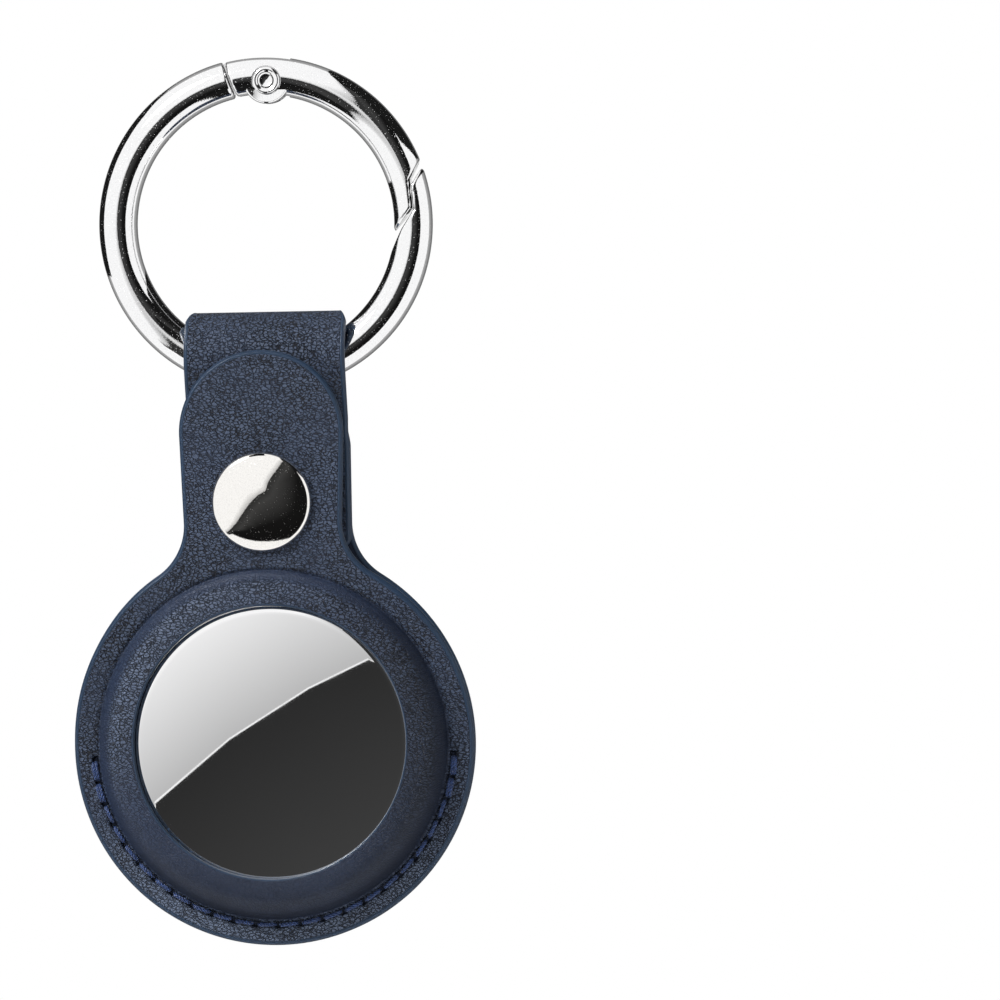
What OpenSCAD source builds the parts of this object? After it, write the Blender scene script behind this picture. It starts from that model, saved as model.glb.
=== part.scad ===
// Leather holder for a round tracker tag, with a spring gate ring.
// Millimetres. +Z runs up the strap and -Y faces the viewer. The origin is the middle of the
// flat back of the tag pocket. Inside facing(), a shape is drawn as seen from the front:
// x to the right, y up, and z is the depth from the back face towards the viewer.

/* [Leather] */
// Thickness of the outer leather
skin_t = 0.7; // [0.5:0.05:0.9]
// Thickness of the lining bonded inside it
lining_t = 0.5; // [0.3:0.05:0.6]
// Thickness of the leather moulded over the tag's flank
flank_t = 1.0; // [0.8:0.05:1.2]
// How far the back of the pocket stands out from its rim
back_proud = 3.9; // [3.2:0.1:4.2]

/* [Disc] */
// Radius of the stitched leather disc
disc_r = 19.5; // [19:0.1:21]
// Radius of the round window in the front
window_r = 13.1; // [12:0.1:13.3]
// Height of the middle of the window above the middle of the disc
window_up = 0.3; // [0:0.05:0.3]
// Radius of the hollow curve between strap and disc
neck_r = 6; // [4:0.5:8]

/* [Strap] */
// Width of the strap that holds the ring
strap_w = 15.7; // [14:0.1:16]
// Width of the closing tab at its neck
tab_neck_w = 15.4; // [14:0.1:16]
// Width of the closing tab at its round end
tab_end_w = 16.0; // [15:0.1:17]
// Height of the top of the closing tab
tab_top = 38.3; // [36:0.1:39]
// Height of the lower edge of the strap's folded end
strap_end = 19.0; // [18.5:0.1:20]
// Height where the two layers of the strap part to form the loop
loop_apex = 29.2; // [28:0.1:30.5]
// Height of the middle of the loop
loop_up = 37.44; // [37:0.02:38]
// Inner radius of the loop
loop_in_r = 3.3; // [3.3:0.05:3.5]

/* [Flap] */
// Height of the line at which the flap bends open
hinge_up = 0.8; // [0.4:0.1:2]
// Height where the flap becomes parallel to the strap
flap_bend = 19.5; // [19.5:0.1:20.5]
// Gap between the two rigid halves of the front at the bend line
bend_gap = 0.04; // [0.02:0.01:0.1]

/* [Seam] */
// Radius of the stitched seam
seam_r = 17.5; // [17.3:0.05:18]
// Number of stitches
stitches = 24; // [20:1:36]
// Angle below the horizontal where the seam ends on each side
seam_end = 4; // [2:1:20]
// Radius of the thread
thread_r = 0.2; // [0.15:0.01:0.25]

/* [Snap] */
// Height of the snap fastener
snap_up = 23.6; // [23:0.1:25]
// Radius of the two caps
cap_r = 4.85; // [4.5:0.05:5]
// Height of the two caps above the leather
cap_h = 1.7; // [1.4:0.1:1.9]
// Radius of the hollow posts that are clinched through the leather
post_r = 1.5; // [1.4:0.05:1.6]
// Radius of the stud's head
stud_r = 2.05; // [2:0.01:2.1]

/* [Ring] */
// Radius of the ring at the middle of its wire
ring_r = 14.4; // [14.3:0.05:14.4]
// Radius of the wire
wire_r = 1.88; // [1.8:0.01:1.88]
// How far the ring is turned in the strap's loop
ring_turn = 1.9; // [0:0.1:5]
// Height of the gate's pin above the middle of the ring
pivot_up = 13.95; // [13.9:0.05:14.1]
// Radius of the gate's pin
pin_r = 0.6; // [0.5:0.05:0.7]
// Radius of the pin's heads
head_r = 1.35; // [1.2:0.05:1.4]
// Thickness of the tongue that carries the gate
tongue_t = 1.5; // [1.2:0.1:1.6]
// Radius of the gate's knuckle
knuckle_r = 2.33; // [2.2:0.01:2.4]
// Distance from the pin to the slanted heel of the gate
heel_d = 3.3; // [3.1:0.1:3.5]
// Running clearance between the moving pieces of the ring
fit = 0.05; // [0.03:0.01:0.08]

/* [Tag] */
// Radius of the tag
tag_r = 15.95; // [15.9:0.01:16]
// Thickness of the tag
tag_h = 8.0; // [7.9:0.05:8.1]
// Clearance round the tag in its pocket
tag_fit = 0.05; // [0.03:0.01:0.08]
// Radius of the polished cover
cover_r = 13.4; // [13.2:0.05:13.4]
// Radius of the coin cell
cell_r = 10; // [10:0.01:10.05]
// Thickness of the coin cell
cell_h = 3.2; // [3.1:0.05:3.2]

/* [Hidden] */
$fn = 96;

navy = [0.12, 0.17, 0.28];
navy_lining = [0.09, 0.12, 0.2];
thread_blue = [0.16, 0.25, 0.46];
chrome = [0.82, 0.82, 0.84];
nickel = [0.78, 0.76, 0.72];
white_plastic = [0.93, 0.93, 0.93];

far = 60;
leather_t = skin_t + lining_t;
seam_d = back_proud + leather_t;
rim_d = seam_d + leather_t;
tag_back = leather_t + tag_fit;
tag_mid = tag_back + tag_h / 2;
tag_front = tag_back + tag_h;
front_d = tag_front + tag_fit + leather_t;
back_flat = 12.4;
front_flat = 13.45;
curve_steps = 9;

loop_d = loop_in_r + leather_t + 0.05;
flap_d = loop_d + loop_in_r + leather_t + 0.1 + leather_t;
flap_rim_d = rim_d + 0.05;
flap_tilt = atan((flap_d - flap_rim_d) / (flap_bend - hinge_up));

ring_up = loop_up + (ring_r + wire_r + sqrt(pow(ring_r - wire_r, 2) - pow(strap_w / 2, 2))) / 2;
heel_slant = 21;
heel_gap = 0.35;
slot_w = tongue_t + 2 * fit;
slot_end = 2.2;
seat_d = 1.55;

// The two sides of the latch, from outside the ring to inside it, measured from the ring's middle
gate_latch = [[16.63, 9.36], [14.05, 4.55], [14.3, 1.75], [12.76, -0.13], [11.0, -2.5]];
body_latch = [[11.4, -4.0], [12.66, -1.46], [13.24, -0.28], [14.62, 1.6], [14.31, 3.9], [17.3, 8.9]];

// Frames of reference

module facing() {
    rotate([90, 0, 0]) children();
}

// A profile drawn as (depth, height), extruded across the strap
module across(width) {
    rotate([0, -90, 0]) linear_extrude(height = width, center = true) children();
}

module slab(d0, d1) {
    translate([0, 0, d0]) linear_extrude(height = d1 - d0) children();
}

module at_snap() {
    facing() translate([0, snap_up, 0]) children();
}

module at_ring() {
    translate([0, -loop_d, ring_up]) rotate([90, 0, 0]) rotate(-ring_turn) children();
}

module at_pivot() {
    translate([0, pivot_up, 0]) children();
}

// Outlines of the leather, seen from the front

module neck_outline(half_w) {
    centre_x = half_w + neck_r;
    centre_y = sqrt(pow(disc_r + neck_r, 2) - pow(centre_x, 2));
    touch = disc_r / (disc_r + neck_r);
    difference() {
        polygon([[-centre_x * touch, centre_y * touch], [centre_x * touch, centre_y * touch],
            [centre_x, centre_y], [-centre_x, centre_y]]);
        for (side = [-1, 1]) translate([side * centre_x, centre_y]) circle(neck_r);
    }
}

module back_outline() {
    circle(disc_r);
    neck_outline(strap_w / 2);
    translate([-strap_w / 2, 0]) square([strap_w, strap_end + 1]);
}

module flap_outline() {
    end_r = tab_end_w / 2;
    end_y = tab_top - end_r;
    intersection() {
        circle(disc_r);
        translate([-far, hinge_up + bend_gap / 2]) square(2 * far);
    }
    neck_outline(tab_neck_w / 2);
    polygon([[-tab_neck_w / 2, disc_r - 2], [tab_neck_w / 2, disc_r - 2], [end_r, end_y], [-end_r, end_y]]);
    translate([0, end_y]) circle(end_r);
}

module lower_outline() {
    intersection() {
        circle(disc_r);
        translate([-far, hinge_up - bend_gap / 2 - 2 * far]) square(2 * far);
    }
}

// The pocket, filled up to a surface that lies the depth o under the outer face of the leather.
// side is -1 at the back and 1 at the front.

function flank_reach(flat_r, o) = tag_r - flat_r + tag_fit + flank_t * (1 - o / leather_t);
function rise(side, o) = (side < 0 ? tag_mid : front_d - tag_mid) - o;
function flank_points(flat_r, reach, height, side) =
    [for (i = [0:curve_steps]) let (t = 90 * i / curve_steps)
        [flat_r + reach * sin(t), tag_mid + side * height * cos(t)]];

module pocket_fill(side, o) {
    flat_r = side < 0 ? back_flat : front_flat;
    points = flank_points(flat_r, flank_reach(flat_r, o), rise(side, o), side);
    past = tag_mid - side * 0.6;
    rotate_extrude() polygon(concat([[0, points[0][1]]], points,
        [[points[curve_steps][0], past], [0, past]]));
}

module stitch_holes() {
    for (i = [0:stitches]) rotate(180 + seam_end + (180 - 2 * seam_end) * i / stitches)
        translate([seam_r, 0, -1]) cylinder(r = thread_r + 0.04, h = 14, $fn = 24);
}

module snap_hole(d0, d1) {
    translate([0, snap_up, d0]) cylinder(r = post_r + 0.03, h = d1 - d0);
}

// The folded strap, filled up to a surface that lies the depth o under its outer face.
// The straight parts touch the loop's circle and meet the flat parts at a mitre.

loop_mid = [loop_d, loop_up];
apex = [seam_d, loop_apex];
apex_reach = norm(loop_mid - apex);
apex_lean = atan2(loop_d - seam_d, loop_up - loop_apex);
leg_spread = asin(loop_in_r / apex_reach);
function leg_lean(side) = side * apex_lean + leg_spread;
function loop_rho(o) = loop_in_r + leather_t - o;
function leg_touch(side, o) = loop_mid + loop_rho(o) * [side * cos(leg_lean(side)), -sin(leg_lean(side))];
function leg_flat(side, o) = side < 0 ? back_proud + o : rim_d - o;
function leg_mitre(side, o) = let (t = leg_touch(side, o), d = leg_flat(side, o))
    [d, t[1] - (t[0] - d) * side / tan(leg_lean(side))];

module strap_fill(o) {
    open = leg_flat(1, o) - leg_flat(-1, o) > 0.01;
    across(strap_w) {
        translate(loop_mid) circle(loop_rho(o));
        polygon(concat([loop_mid, leg_touch(-1, o), leg_mitre(-1, o)],
            open ? [[leg_flat(-1, o), strap_end], [leg_flat(1, o), strap_end]] : [],
            [leg_mitre(1, o), leg_touch(1, o)]));
    }
}

module strap_layer(o0, o1) {
    difference() {
        strap_fill(o0);
        strap_fill(o1);
    }
}

module back_layer(o0, o1) {
    facing() difference() {
        union() {
            slab(back_proud + o0, back_proud + o1) back_outline();
            intersection() {
                pocket_fill(-1, o0);
                slab(-1, back_proud + o1) circle(disc_r - 1);
            }
            strap_layer(o0, o1);
        }
        pocket_fill(-1, o1);
        stitch_holes();
        snap_hole(0, rim_d + 1);
    }
}

module back_panel() {
    color(navy) back_layer(0, skin_t);
}

module back_lining() {
    color(navy_lining) back_layer(skin_t, leather_t);
}

module lower_layer(o0, o1) {
    facing() difference() {
        union() {
            slab(rim_d - o1, rim_d - o0) lower_outline();
            intersection() {
                pocket_fill(1, o0);
                slab(rim_d - o1, front_d + 1) lower_outline();
            }
        }
        pocket_fill(1, o1);
        stitch_holes();
        translate([0, window_up, 0]) cylinder(r = window_r, h = far);
    }
}

module front_panel() {
    color(navy) lower_layer(0, skin_t);
}

module front_lining() {
    color(navy_lining) lower_layer(skin_t, leather_t);
}

// The flap leans forward from the bend line to the tab, and the moulded pocket stands out of it.

module flap_fill(o) {
    rim = flap_rim_d - o / cos(flap_tilt);
    flat_d = flap_d - o;
    bend = hinge_up + (flat_d - rim) / tan(flap_tilt);
    slope = tan(flap_tilt);
    across(2 * far) polygon([[0, hinge_up - 4], [rim - 4 * slope, hinge_up - 4], [flat_d, bend],
        [flat_d, far], [0, far]]);
    pocket_fill(1, o);
}

module flap_layer(o0, o1) {
    facing() difference() {
        intersection() {
            flap_fill(o0);
            slab(seam_d, front_d + 1) flap_outline();
        }
        flap_fill(o1);
        translate([0, window_up, 0]) cylinder(r = window_r, h = far);
        snap_hole(0, far);
    }
}

module front_flap() {
    color(navy) flap_layer(0, skin_t);
}

module flap_lining() {
    color(navy_lining) flap_layer(skin_t, leather_t);
}

// One stitch on each face from hole to hole, and the thread through each hole
module seam_thread() {
    step = (180 - 2 * seam_end) / stitches;
    chord = 2 * seam_r * sin(step / 2);
    front_line = rim_d + thread_r;
    back_line = back_proud - thread_r;
    color(thread_blue) facing() union() {
        for (i = [0:stitches]) rotate(180 + seam_end + step * i)
            translate([seam_r, 0, back_line]) {
                cylinder(r = thread_r, h = front_line - back_line, $fn = 16);
                for (line = [0, front_line - back_line])
                    translate([0, 0, line]) sphere(r = thread_r + 0.06, $fn = 16);
            }
        for (i = [0:stitches - 1]) rotate(180 + seam_end + step * (i + 0.5))
            for (line = [back_line, front_line])
                translate([seam_r * cos(step / 2), 0, line])
                    rotate([90, 0, 0]) cylinder(r = thread_r, h = chord, center = true, $fn = 16);
    }
}

// A domed cap with a hollow post, drawn from the leather's face. out is the height above the
// leather and the post runs the other way.
module snap_cap(post_len, flare) {
    sheet = 0.35;
    crown = [[0, 1], [0.3, 0.985], [0.55, 0.93], [0.75, 0.82], [0.9, 0.64], [0.97, 0.45], [1, 0.25]];
    outer = [for (p = crown) [p[0] * cap_r, p[1] * cap_h]];
    inner = [for (p = crown) [p[0] * (cap_r - sheet), max(p[1] * cap_h - sheet, sheet)]];
    last = len(crown) - 1;
    rotate_extrude() polygon(concat(outer, [[cap_r - 0.15, 0], [post_r, 0]],
        flare > 0 ? [[post_r, -post_len], [post_r + flare, -post_len], [post_r + flare, -post_len - 0.1]]
            : [[post_r, -post_len]],
        [[post_r - 0.4, flare > 0 ? -post_len - 0.1 : -post_len], [post_r - 0.4, sheet]],
        [for (i = [last - 1:-1:0]) inner[i]]));
}

module back_cap() {
    color(nickel) at_snap() translate([0, 0, back_proud]) mirror([0, 0, 1])
        snap_cap(2 * leather_t + 0.9, 0);
}

module front_cap() {
    color(nickel) at_snap() translate([0, 0, flap_d]) snap_cap(leather_t + 0.55, 0.45);
}

module snap_stud() {
    color(nickel) at_snap() translate([0, 0, rim_d]) rotate_extrude()
        polygon([[post_r, 0], [3.75, 0], [3.75, 0.5], [2.3, 0.5], [1.85, 0.8], [stud_r, 1.3],
            [stud_r, 1.65], [1.7, 2.05], [0, 2.05], [0, 1.8], [post_r, 1.6]]);
}

module snap_socket() {
    color(nickel) at_snap() translate([0, 0, flap_d - leather_t]) mirror([0, 0, 1]) rotate_extrude()
        polygon([[post_r, 0], [4.25, 0], [4.25, 1.95], [4.05, 2.15], [2.3, 2.15], [2.3, 1.9],
            [3.3, 1.9], [3.3, 1.05], [2.3, 1.05], [2.3, 0.55], [post_r, 0.55]]);
}

module socket_spring() {
    color(nickel) at_snap() translate([0, 0, flap_d - leather_t - 1.5]) rotate(110)
        rotate_extrude(angle = 320) translate([2.45, 0]) circle(r = 0.24, $fn = 24);
}

// The ring, its gate, and the gate's pin and spring

module wire() {
    rotate_extrude($fn = 128) translate([ring_r, 0]) circle(r = wire_r, $fn = 48);
}

function heel_point(d, along) = [0, pivot_up] + d * [-cos(heel_slant), -sin(heel_slant)]
    + along * [-sin(heel_slant), cos(heel_slant)];

module ring_body() {
    color(chrome) at_ring() {
        difference() {
            union() {
                difference() {
                    wire();
                    linear_extrude(height = 8, center = true) polygon(concat(
                        [heel_point(heel_d + heel_gap, -6), heel_point(heel_d + heel_gap, 8), [20, 22]],
                        [for (i = [len(body_latch) - 1:-1:0]) body_latch[i]], [[0, 6]]));
                }
                linear_extrude(height = tongue_t, center = true) tongue_outline();
            }
            at_pivot() cylinder(r = pin_r, h = 8, center = true, $fn = 48);
        }
    }
}

module tongue_outline() {
    difference() {
        union() {
            at_pivot() circle(2.0);
            intersection() {
                difference() {
                    circle(ring_r + 1.45);
                    circle(ring_r - 1.45);
                }
                polygon([[0, 6], heel_point(heel_d + heel_gap + 1, -6),
                    heel_point(heel_d + heel_gap + 1, 8), [0, 20]]);
            }
        }
        translate([1.7, pivot_up - 2.5]) square([2, 2.6]);
    }
}

module gate() {
    color(chrome) at_ring() difference() {
        union() {
            intersection() {
                wire();
                linear_extrude(height = 8, center = true) polygon(concat(
                    [[0, 6], heel_point(heel_d, -6), heel_point(heel_d, 8), [20, 22]], gate_latch));
            }
            intersection() {
                at_pivot() cylinder(r = knuckle_r, h = 2 * 1.45, center = true);
                cylinder(r = ring_r + wire_r - 0.15, h = 8, center = true);
            }
        }
        at_pivot() {
            cylinder(r = pin_r + fit, h = 8, center = true, $fn = 48);
            for (side = [-1, 1]) scale([1, 1, side]) translate([0, 0, seat_d])
                cylinder(r = head_r + 0.08, h = 2, $fn = 48);
            translate([slot_end - 12, -5, -slot_w / 2]) cube([12, 10, slot_w]);
            translate([0, -0.7, 0]) rotate([0, 90, 0]) cylinder(r = 0.62, h = 4.9, $fn = 32);
        }
    }
}

module gate_pin() {
    head_h = 0.42;
    start = seat_d + fit;
    color(chrome) at_ring() at_pivot() {
        cylinder(r = pin_r, h = 2 * start, center = true, $fn = 48);
        for (side = [0, 180]) rotate([side, 0, 0]) translate([0, 0, start]) rotate_extrude($fn = 48)
            polygon([[0, 0], [head_r, 0], [head_r, head_h - 0.15], [head_r - 0.15, head_h],
                [0.8, head_h], [0.7, head_h - 0.12], [0, head_h - 0.2]]);
    }
}

module gate_spring() {
    color("silver") at_ring() at_pivot() translate([1.74, -0.7, 0]) rotate([0, 90, 0])
        difference() {
            cylinder(r = 0.55, h = 3.1, $fn = 32);
            translate([0, 0, -1]) cylinder(r = 0.35, h = 6, $fn = 32);
        }
}

// The tracker tag and what it holds

shell_in_back = tag_back + 0.9;
ledge_r = 12.55;
ledge_d = tag_front - 0.8;
plate_d = tag_front - 0.5;
tab_d = tag_front - 1.95;
cell_d = plate_d - 0.05 - cell_h;
tray_floor = cell_d - 0.6;

module tag_shell() {
    back_pts = flank_points(back_flat, tag_r - back_flat, tag_h / 2, -1);
    front_pts = flank_points(front_flat, tag_r - front_flat, tag_h / 2, 1);
    color(white_plastic) facing() rotate_extrude() polygon(concat(
        [[0, tag_back]], back_pts, [for (i = [curve_steps - 1:-1:0]) front_pts[i]],
        [[cover_r + 0.02, tag_front], [cover_r + 0.02, ledge_d], [ledge_r, ledge_d],
            [ledge_r, tab_d + 0.6], [14.2, tab_d + 0.6], [14.9, tag_mid + 0.95], [14.95, tag_mid],
            [14.5, tag_mid - 1.6], [13.2, tag_mid - 2.8], [12.0, shell_in_back], [0, shell_in_back]]));
}

module tag_cover() {
    color([0.8, 0.8, 0.82]) facing() {
        rotate_extrude() polygon([[0, plate_d], [11.5, plate_d], [11.5, tab_d], [ledge_r - 0.05, tab_d],
            [ledge_r - 0.05, plate_d], [cover_r, plate_d], [cover_r, tag_front - 0.15],
            [cover_r - 0.15, tag_front], [0, tag_front]]);
        for (i = [0:2]) rotate(120 * i + 30) translate([ledge_r - 0.65, -3, tab_d + 0.05])
            cube([1.25, 6, 0.45]);
    }
}

module cover_seal() {
    color([0.2, 0.2, 0.2]) facing() translate([0, 0, ledge_d]) difference() {
        cylinder(r = 13.2, h = plate_d - ledge_d - 0.02);
        translate([0, 0, -1]) cylinder(r = 12.75, h = 3);
    }
}

module battery_tray() {
    wall_r = cell_r + 0.25;
    color([0.85, 0.85, 0.87]) facing() translate([0, 0, tray_floor]) difference() {
        union() {
            cylinder(r = 12, h = 0.5);
            cylinder(r = wall_r + 1, h = 3.3);
        }
        translate([0, 0, 0.5]) cylinder(r = wall_r, h = 5);
    }
}

module coin_cell() {
    color([0.72, 0.72, 0.74]) facing() translate([0, 0, cell_d]) rotate_extrude()
        polygon([[0, 0], [8.9, 0], [9.2, 0.4], [cell_r - 0.2, 0.45], [cell_r, 0.65],
            [cell_r, cell_h - 0.25], [cell_r - 0.25, cell_h], [0, cell_h]]);
}

module battery_contacts() {
    color("gold") facing() translate([0, 0, tray_floor + 0.5]) {
        translate([-4, -1.2, 0]) cube([8, 2.4, 0.1]);
        for (i = [0:1]) rotate(35 + 110 * i) intersection() {
            difference() {
                cylinder(r = cell_r + 0.23, h = 2.6);
                translate([0, 0, -1]) cylinder(r = cell_r + 0.05, h = 5);
            }
            translate([0, -1.5, 0]) cube([20, 3, 2.6]);
        }
    }
}

module circuit_board() {
    board_d = tray_floor - 0.6;
    color([0.1, 0.35, 0.2]) facing() difference() {
        union() {
            translate([0, 0, board_d]) cylinder(r = 12, h = 0.6);
            for (spot = [[7.6, 3.0, 3.4], [-9.2, 2.2, 2.6], [-8.4, -5.2, 2.2], [6.4, -7.4, 2.8]])
                translate([spot[0] - spot[2] / 2, spot[1] - spot[2] / 2, board_d - 0.8])
                    cube([spot[2], spot[2], 0.8]);
        }
        cylinder(r = 5.42, h = far);
    }
}

module antenna_frame() {
    color([0.88, 0.88, 0.9]) facing() translate([0, 0, tag_mid - 1.6]) difference() {
        cylinder(r = 14.4, h = 3.3);
        translate([0, 0, -1]) cylinder(r = 12.02, h = 6);
        for (i = [0:3]) rotate(90 * i + 20) translate([13.2, -1, -1]) cube([3, 2, 6]);
    }
}

module speaker_magnet() {
    color([0.45, 0.45, 0.48]) facing() translate([0, 0, tray_floor - 2]) difference() {
        cylinder(r = 5.4, h = 2);
        translate([0, 0, -1]) difference() {
            cylinder(r = 4.8, h = 2.5);
            cylinder(r = 3.6, h = 2.5);
        }
    }
}

module voice_coil() {
    color([0.75, 0.42, 0.2]) facing() translate([0, 0, shell_in_back]) difference() {
        cylinder(r = 4.5, h = 1.5);
        translate([0, 0, -1]) cylinder(r = 3.9, h = 4);
    }
}

back_panel();
back_lining();
front_panel();
front_lining();
front_flap();
flap_lining();
seam_thread();
back_cap();
snap_stud();
front_cap();
snap_socket();
socket_spring();
ring_body();
gate();
gate_pin();
gate_spring();
tag_shell();
tag_cover();
cover_seal();
battery_tray();
coin_cell();
battery_contacts();
circuit_board();
antenna_frame();
speaker_magnet();
voice_coil();
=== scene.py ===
"""Looks of the tracker tag holder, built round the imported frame.

Sizes are millimetres in the frame's axes: x to the right, up along +Z, and the depth runs from
the back face towards the viewer, along -Y.
"""
import math

import bmesh
import bpy
import numpy as np
from mathutils import Matrix, Vector
from mathutils.geometry import delaunay_2d_cdt

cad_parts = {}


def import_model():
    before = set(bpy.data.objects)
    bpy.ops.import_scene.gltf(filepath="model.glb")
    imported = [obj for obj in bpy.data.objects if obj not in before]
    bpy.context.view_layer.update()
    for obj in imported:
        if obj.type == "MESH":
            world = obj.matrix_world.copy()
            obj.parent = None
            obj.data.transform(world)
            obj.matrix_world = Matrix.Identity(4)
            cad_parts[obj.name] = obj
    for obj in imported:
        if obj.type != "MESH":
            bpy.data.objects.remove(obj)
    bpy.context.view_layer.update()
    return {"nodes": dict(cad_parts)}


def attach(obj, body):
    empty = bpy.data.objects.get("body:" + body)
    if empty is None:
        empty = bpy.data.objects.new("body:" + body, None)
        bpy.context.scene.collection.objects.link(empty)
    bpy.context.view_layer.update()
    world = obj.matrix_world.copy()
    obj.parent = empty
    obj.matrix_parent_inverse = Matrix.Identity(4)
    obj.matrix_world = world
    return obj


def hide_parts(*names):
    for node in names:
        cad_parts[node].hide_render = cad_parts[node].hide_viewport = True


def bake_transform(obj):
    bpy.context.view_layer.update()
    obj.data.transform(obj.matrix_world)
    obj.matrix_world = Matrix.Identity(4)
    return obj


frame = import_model()
bpy.context.scene.view_settings.view_transform = "Standard"

MM = 0.001

# Leather, with the sizes of the part's source. The window's edge and the tab's place follow the photo.
SKIN_T = 0.7
LINING_T = 0.5
LEATHER_T = SKIN_T + LINING_T
BACK_PROUD = 3.9
SEAM_D = BACK_PROUD + LEATHER_T
RIM_D = SEAM_D + LEATHER_T
DISC_R = 19.5
WINDOW_R = 13.2
WINDOW_UP = 0.3
NECK_R = 6.0
STRAP_W = 15.7
TAB_NECK_W = 15.4
TAB_END_W = 16.0
TAB_TOP = 38.3
TAB_ASIDE = 0.3
STRAP_END = 19.0
LOOP_APEX = 29.2
LOOP_UP = 37.44
LOOP_D = 4.55
LOOP_IN_R = 3.3
FRONT_D = 10.5
BACK_FLAT = 12.4
HINGE_UP = 0.8
FLAP_BEND = 19.5
FLAP_RIM_D = RIM_D + 0.05
FLAP_D = 10.35
SEAM_R = 17.5
STITCHES = 24
SEAM_END = 4.0
SNAP_UP = 23.6
CAP_R = 4.85
CAP_H = 1.7
DOME_ANGLE = 24
DOME_SHARE = 0.92
RIM_ANGLE = 76
CAP_RIM = [(0, 0.29), (0.01, 0.21), (0.06, 0.1), (0.16, 0.03), (0.3, 0.0)]
CAP_TILT = 4.6

# Ring
RING_UP = 50.457
RING_R = 14.4
RING_TURN = 1.9
WIRE_R = 1.88
PIVOT_UP = 13.95
HEAD_R = 1.35
KNUCKLE_R = 2.33

# Tag
TAG_FRONT = 9.25
TAG_MID = 5.25
COVER_R = 13.65


# Camera

TARGET = (22.34, -5.0, 23.29)
CAMERA_DISTANCE = 1500.0
CAMERA_AZIMUTH = 5.4
CAMERA_ELEVATION = 0.67
CAMERA_ROLL = -1.1
PIXELS_PER_MM = 10.318
FRAME_PIXELS = 1000


def add_camera():
    data = bpy.data.cameras.new("camera")
    data.sensor_width = 36
    data.lens = 36 * CAMERA_DISTANCE * PIXELS_PER_MM / FRAME_PIXELS
    data.clip_start = 0.01
    camera = bpy.data.objects.new("camera", data)
    bpy.context.scene.collection.objects.link(camera)
    place = Matrix.Translation(Vector(TARGET) * MM)
    for degrees, axis in ((CAMERA_AZIMUTH, "Z"), (90 - CAMERA_ELEVATION, "X"), (CAMERA_ROLL, "Z")):
        place @= Matrix.Rotation(math.radians(degrees), 4, axis)
    camera.matrix_world = place @ Matrix.Translation((0, 0, CAMERA_DISTANCE * MM))
    bpy.context.scene.camera = camera


add_camera()


# Mesh helpers

def unit(rows):
    """Rows of vectors, each made one long."""
    return rows / np.linalg.norm(rows, axis=1)[:, None]


def lengths(path):
    """Distance along a path at each of its points."""
    return np.concatenate([[0], np.cumsum(np.linalg.norm(np.diff(path, axis=0), axis=1))])


def smoothstep(share):
    """0 below 0, 1 above 1, and smooth between them."""
    share = np.clip(share, 0, 1)
    return share * share * (3 - 2 * share)


def world(x, up, depth):
    """Points seen from the front, as millimetres in the frame."""
    return np.stack([np.asarray(x, float), -np.asarray(depth, float), np.asarray(up, float)], axis=-1)


def mesh_piece(name, points, faces, smooth=True):
    """A new object from points in millimetres."""
    mesh = bpy.data.meshes.new(name)
    mesh.from_pydata([tuple(p) for p in np.asarray(points) * MM], [], [tuple(f) for f in faces])
    mesh.validate()
    mesh.update()
    piece = bpy.data.objects.new(name, mesh)
    bpy.context.scene.collection.objects.link(piece)
    mesh.polygons.foreach_set("use_smooth", [smooth] * len(mesh.polygons))
    return piece


def point_values(piece, name, values):
    """Keeps a number or a place for each point with the mesh."""
    values = np.asarray(values, np.float32)
    kind, field = ("FLOAT", "value") if values.ndim == 1 else ("FLOAT_VECTOR", "vector")
    data = piece.data.attributes.new(name, kind, "POINT").data
    data.foreach_set(field, values.ravel())


def outward(piece):
    """Makes every face look outward."""
    bm = bmesh.new()
    bm.from_mesh(piece.data)
    bmesh.ops.recalc_face_normals(bm, faces=bm.faces)
    bm.to_mesh(piece.data)
    bm.free()
    return piece


def ring_faces(*rows, closed=True):
    """Quads between rows of point indices that follow each other, all of the same length."""
    faces = []
    for a, b in zip(rows[:-1], rows[1:]):
        count = len(a)
        steps = count if closed else count - 1
        faces += [(a[i], a[(i + 1) % count], b[(i + 1) % count], b[i]) for i in range(steps)]
    return faces


def index_rows(rows, size):
    """The indices of points that lie in rows of one size."""
    return [range(i * size, (i + 1) * size) for i in range(rows)]


def tube_faces(rows, size, joined=False):
    """Faces round rows of points that follow each other: joined end to end, or closed at both ends."""
    index = index_rows(rows, size)
    if joined:
        return ring_faces(*index, index[0])
    return ring_faces(*index) + [tuple(reversed(index[0])), tuple(index[-1])]


def smooth_max(a, b, width):
    """The larger of two values, with a rounded corner of about that width."""
    return 0.5 * (a + b + np.sqrt((a - b) ** 2 + width ** 2))


def smooth_min(a, b, width):
    return -smooth_max(-a, -b, width)


def curve_through(knots):
    """A smooth curve through (x, y) knots that doesn't overshoot them."""
    xs, ys = np.array(knots, float).T
    step = np.diff(xs)
    slope = np.diff(ys) / step
    tangent = np.zeros(len(xs))
    for i in range(1, len(xs) - 1):
        if slope[i - 1] * slope[i] > 0:
            tangent[i] = 2 * slope[i - 1] * slope[i] / (slope[i - 1] + slope[i])

    def value(x):
        x = np.clip(x, xs[0], xs[-1])
        i = np.clip(np.searchsorted(xs, x, side="right") - 1, 0, len(xs) - 2)
        t = (x - xs[i]) / step[i]
        return ((2 * t ** 3 - 3 * t ** 2 + 1) * ys[i] + (t ** 3 - 2 * t ** 2 + t) * step[i] * tangent[i]
                + (3 * t ** 2 - 2 * t ** 3) * ys[i + 1] + (t ** 3 - t ** 2) * step[i] * tangent[i + 1])
    return value


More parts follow.
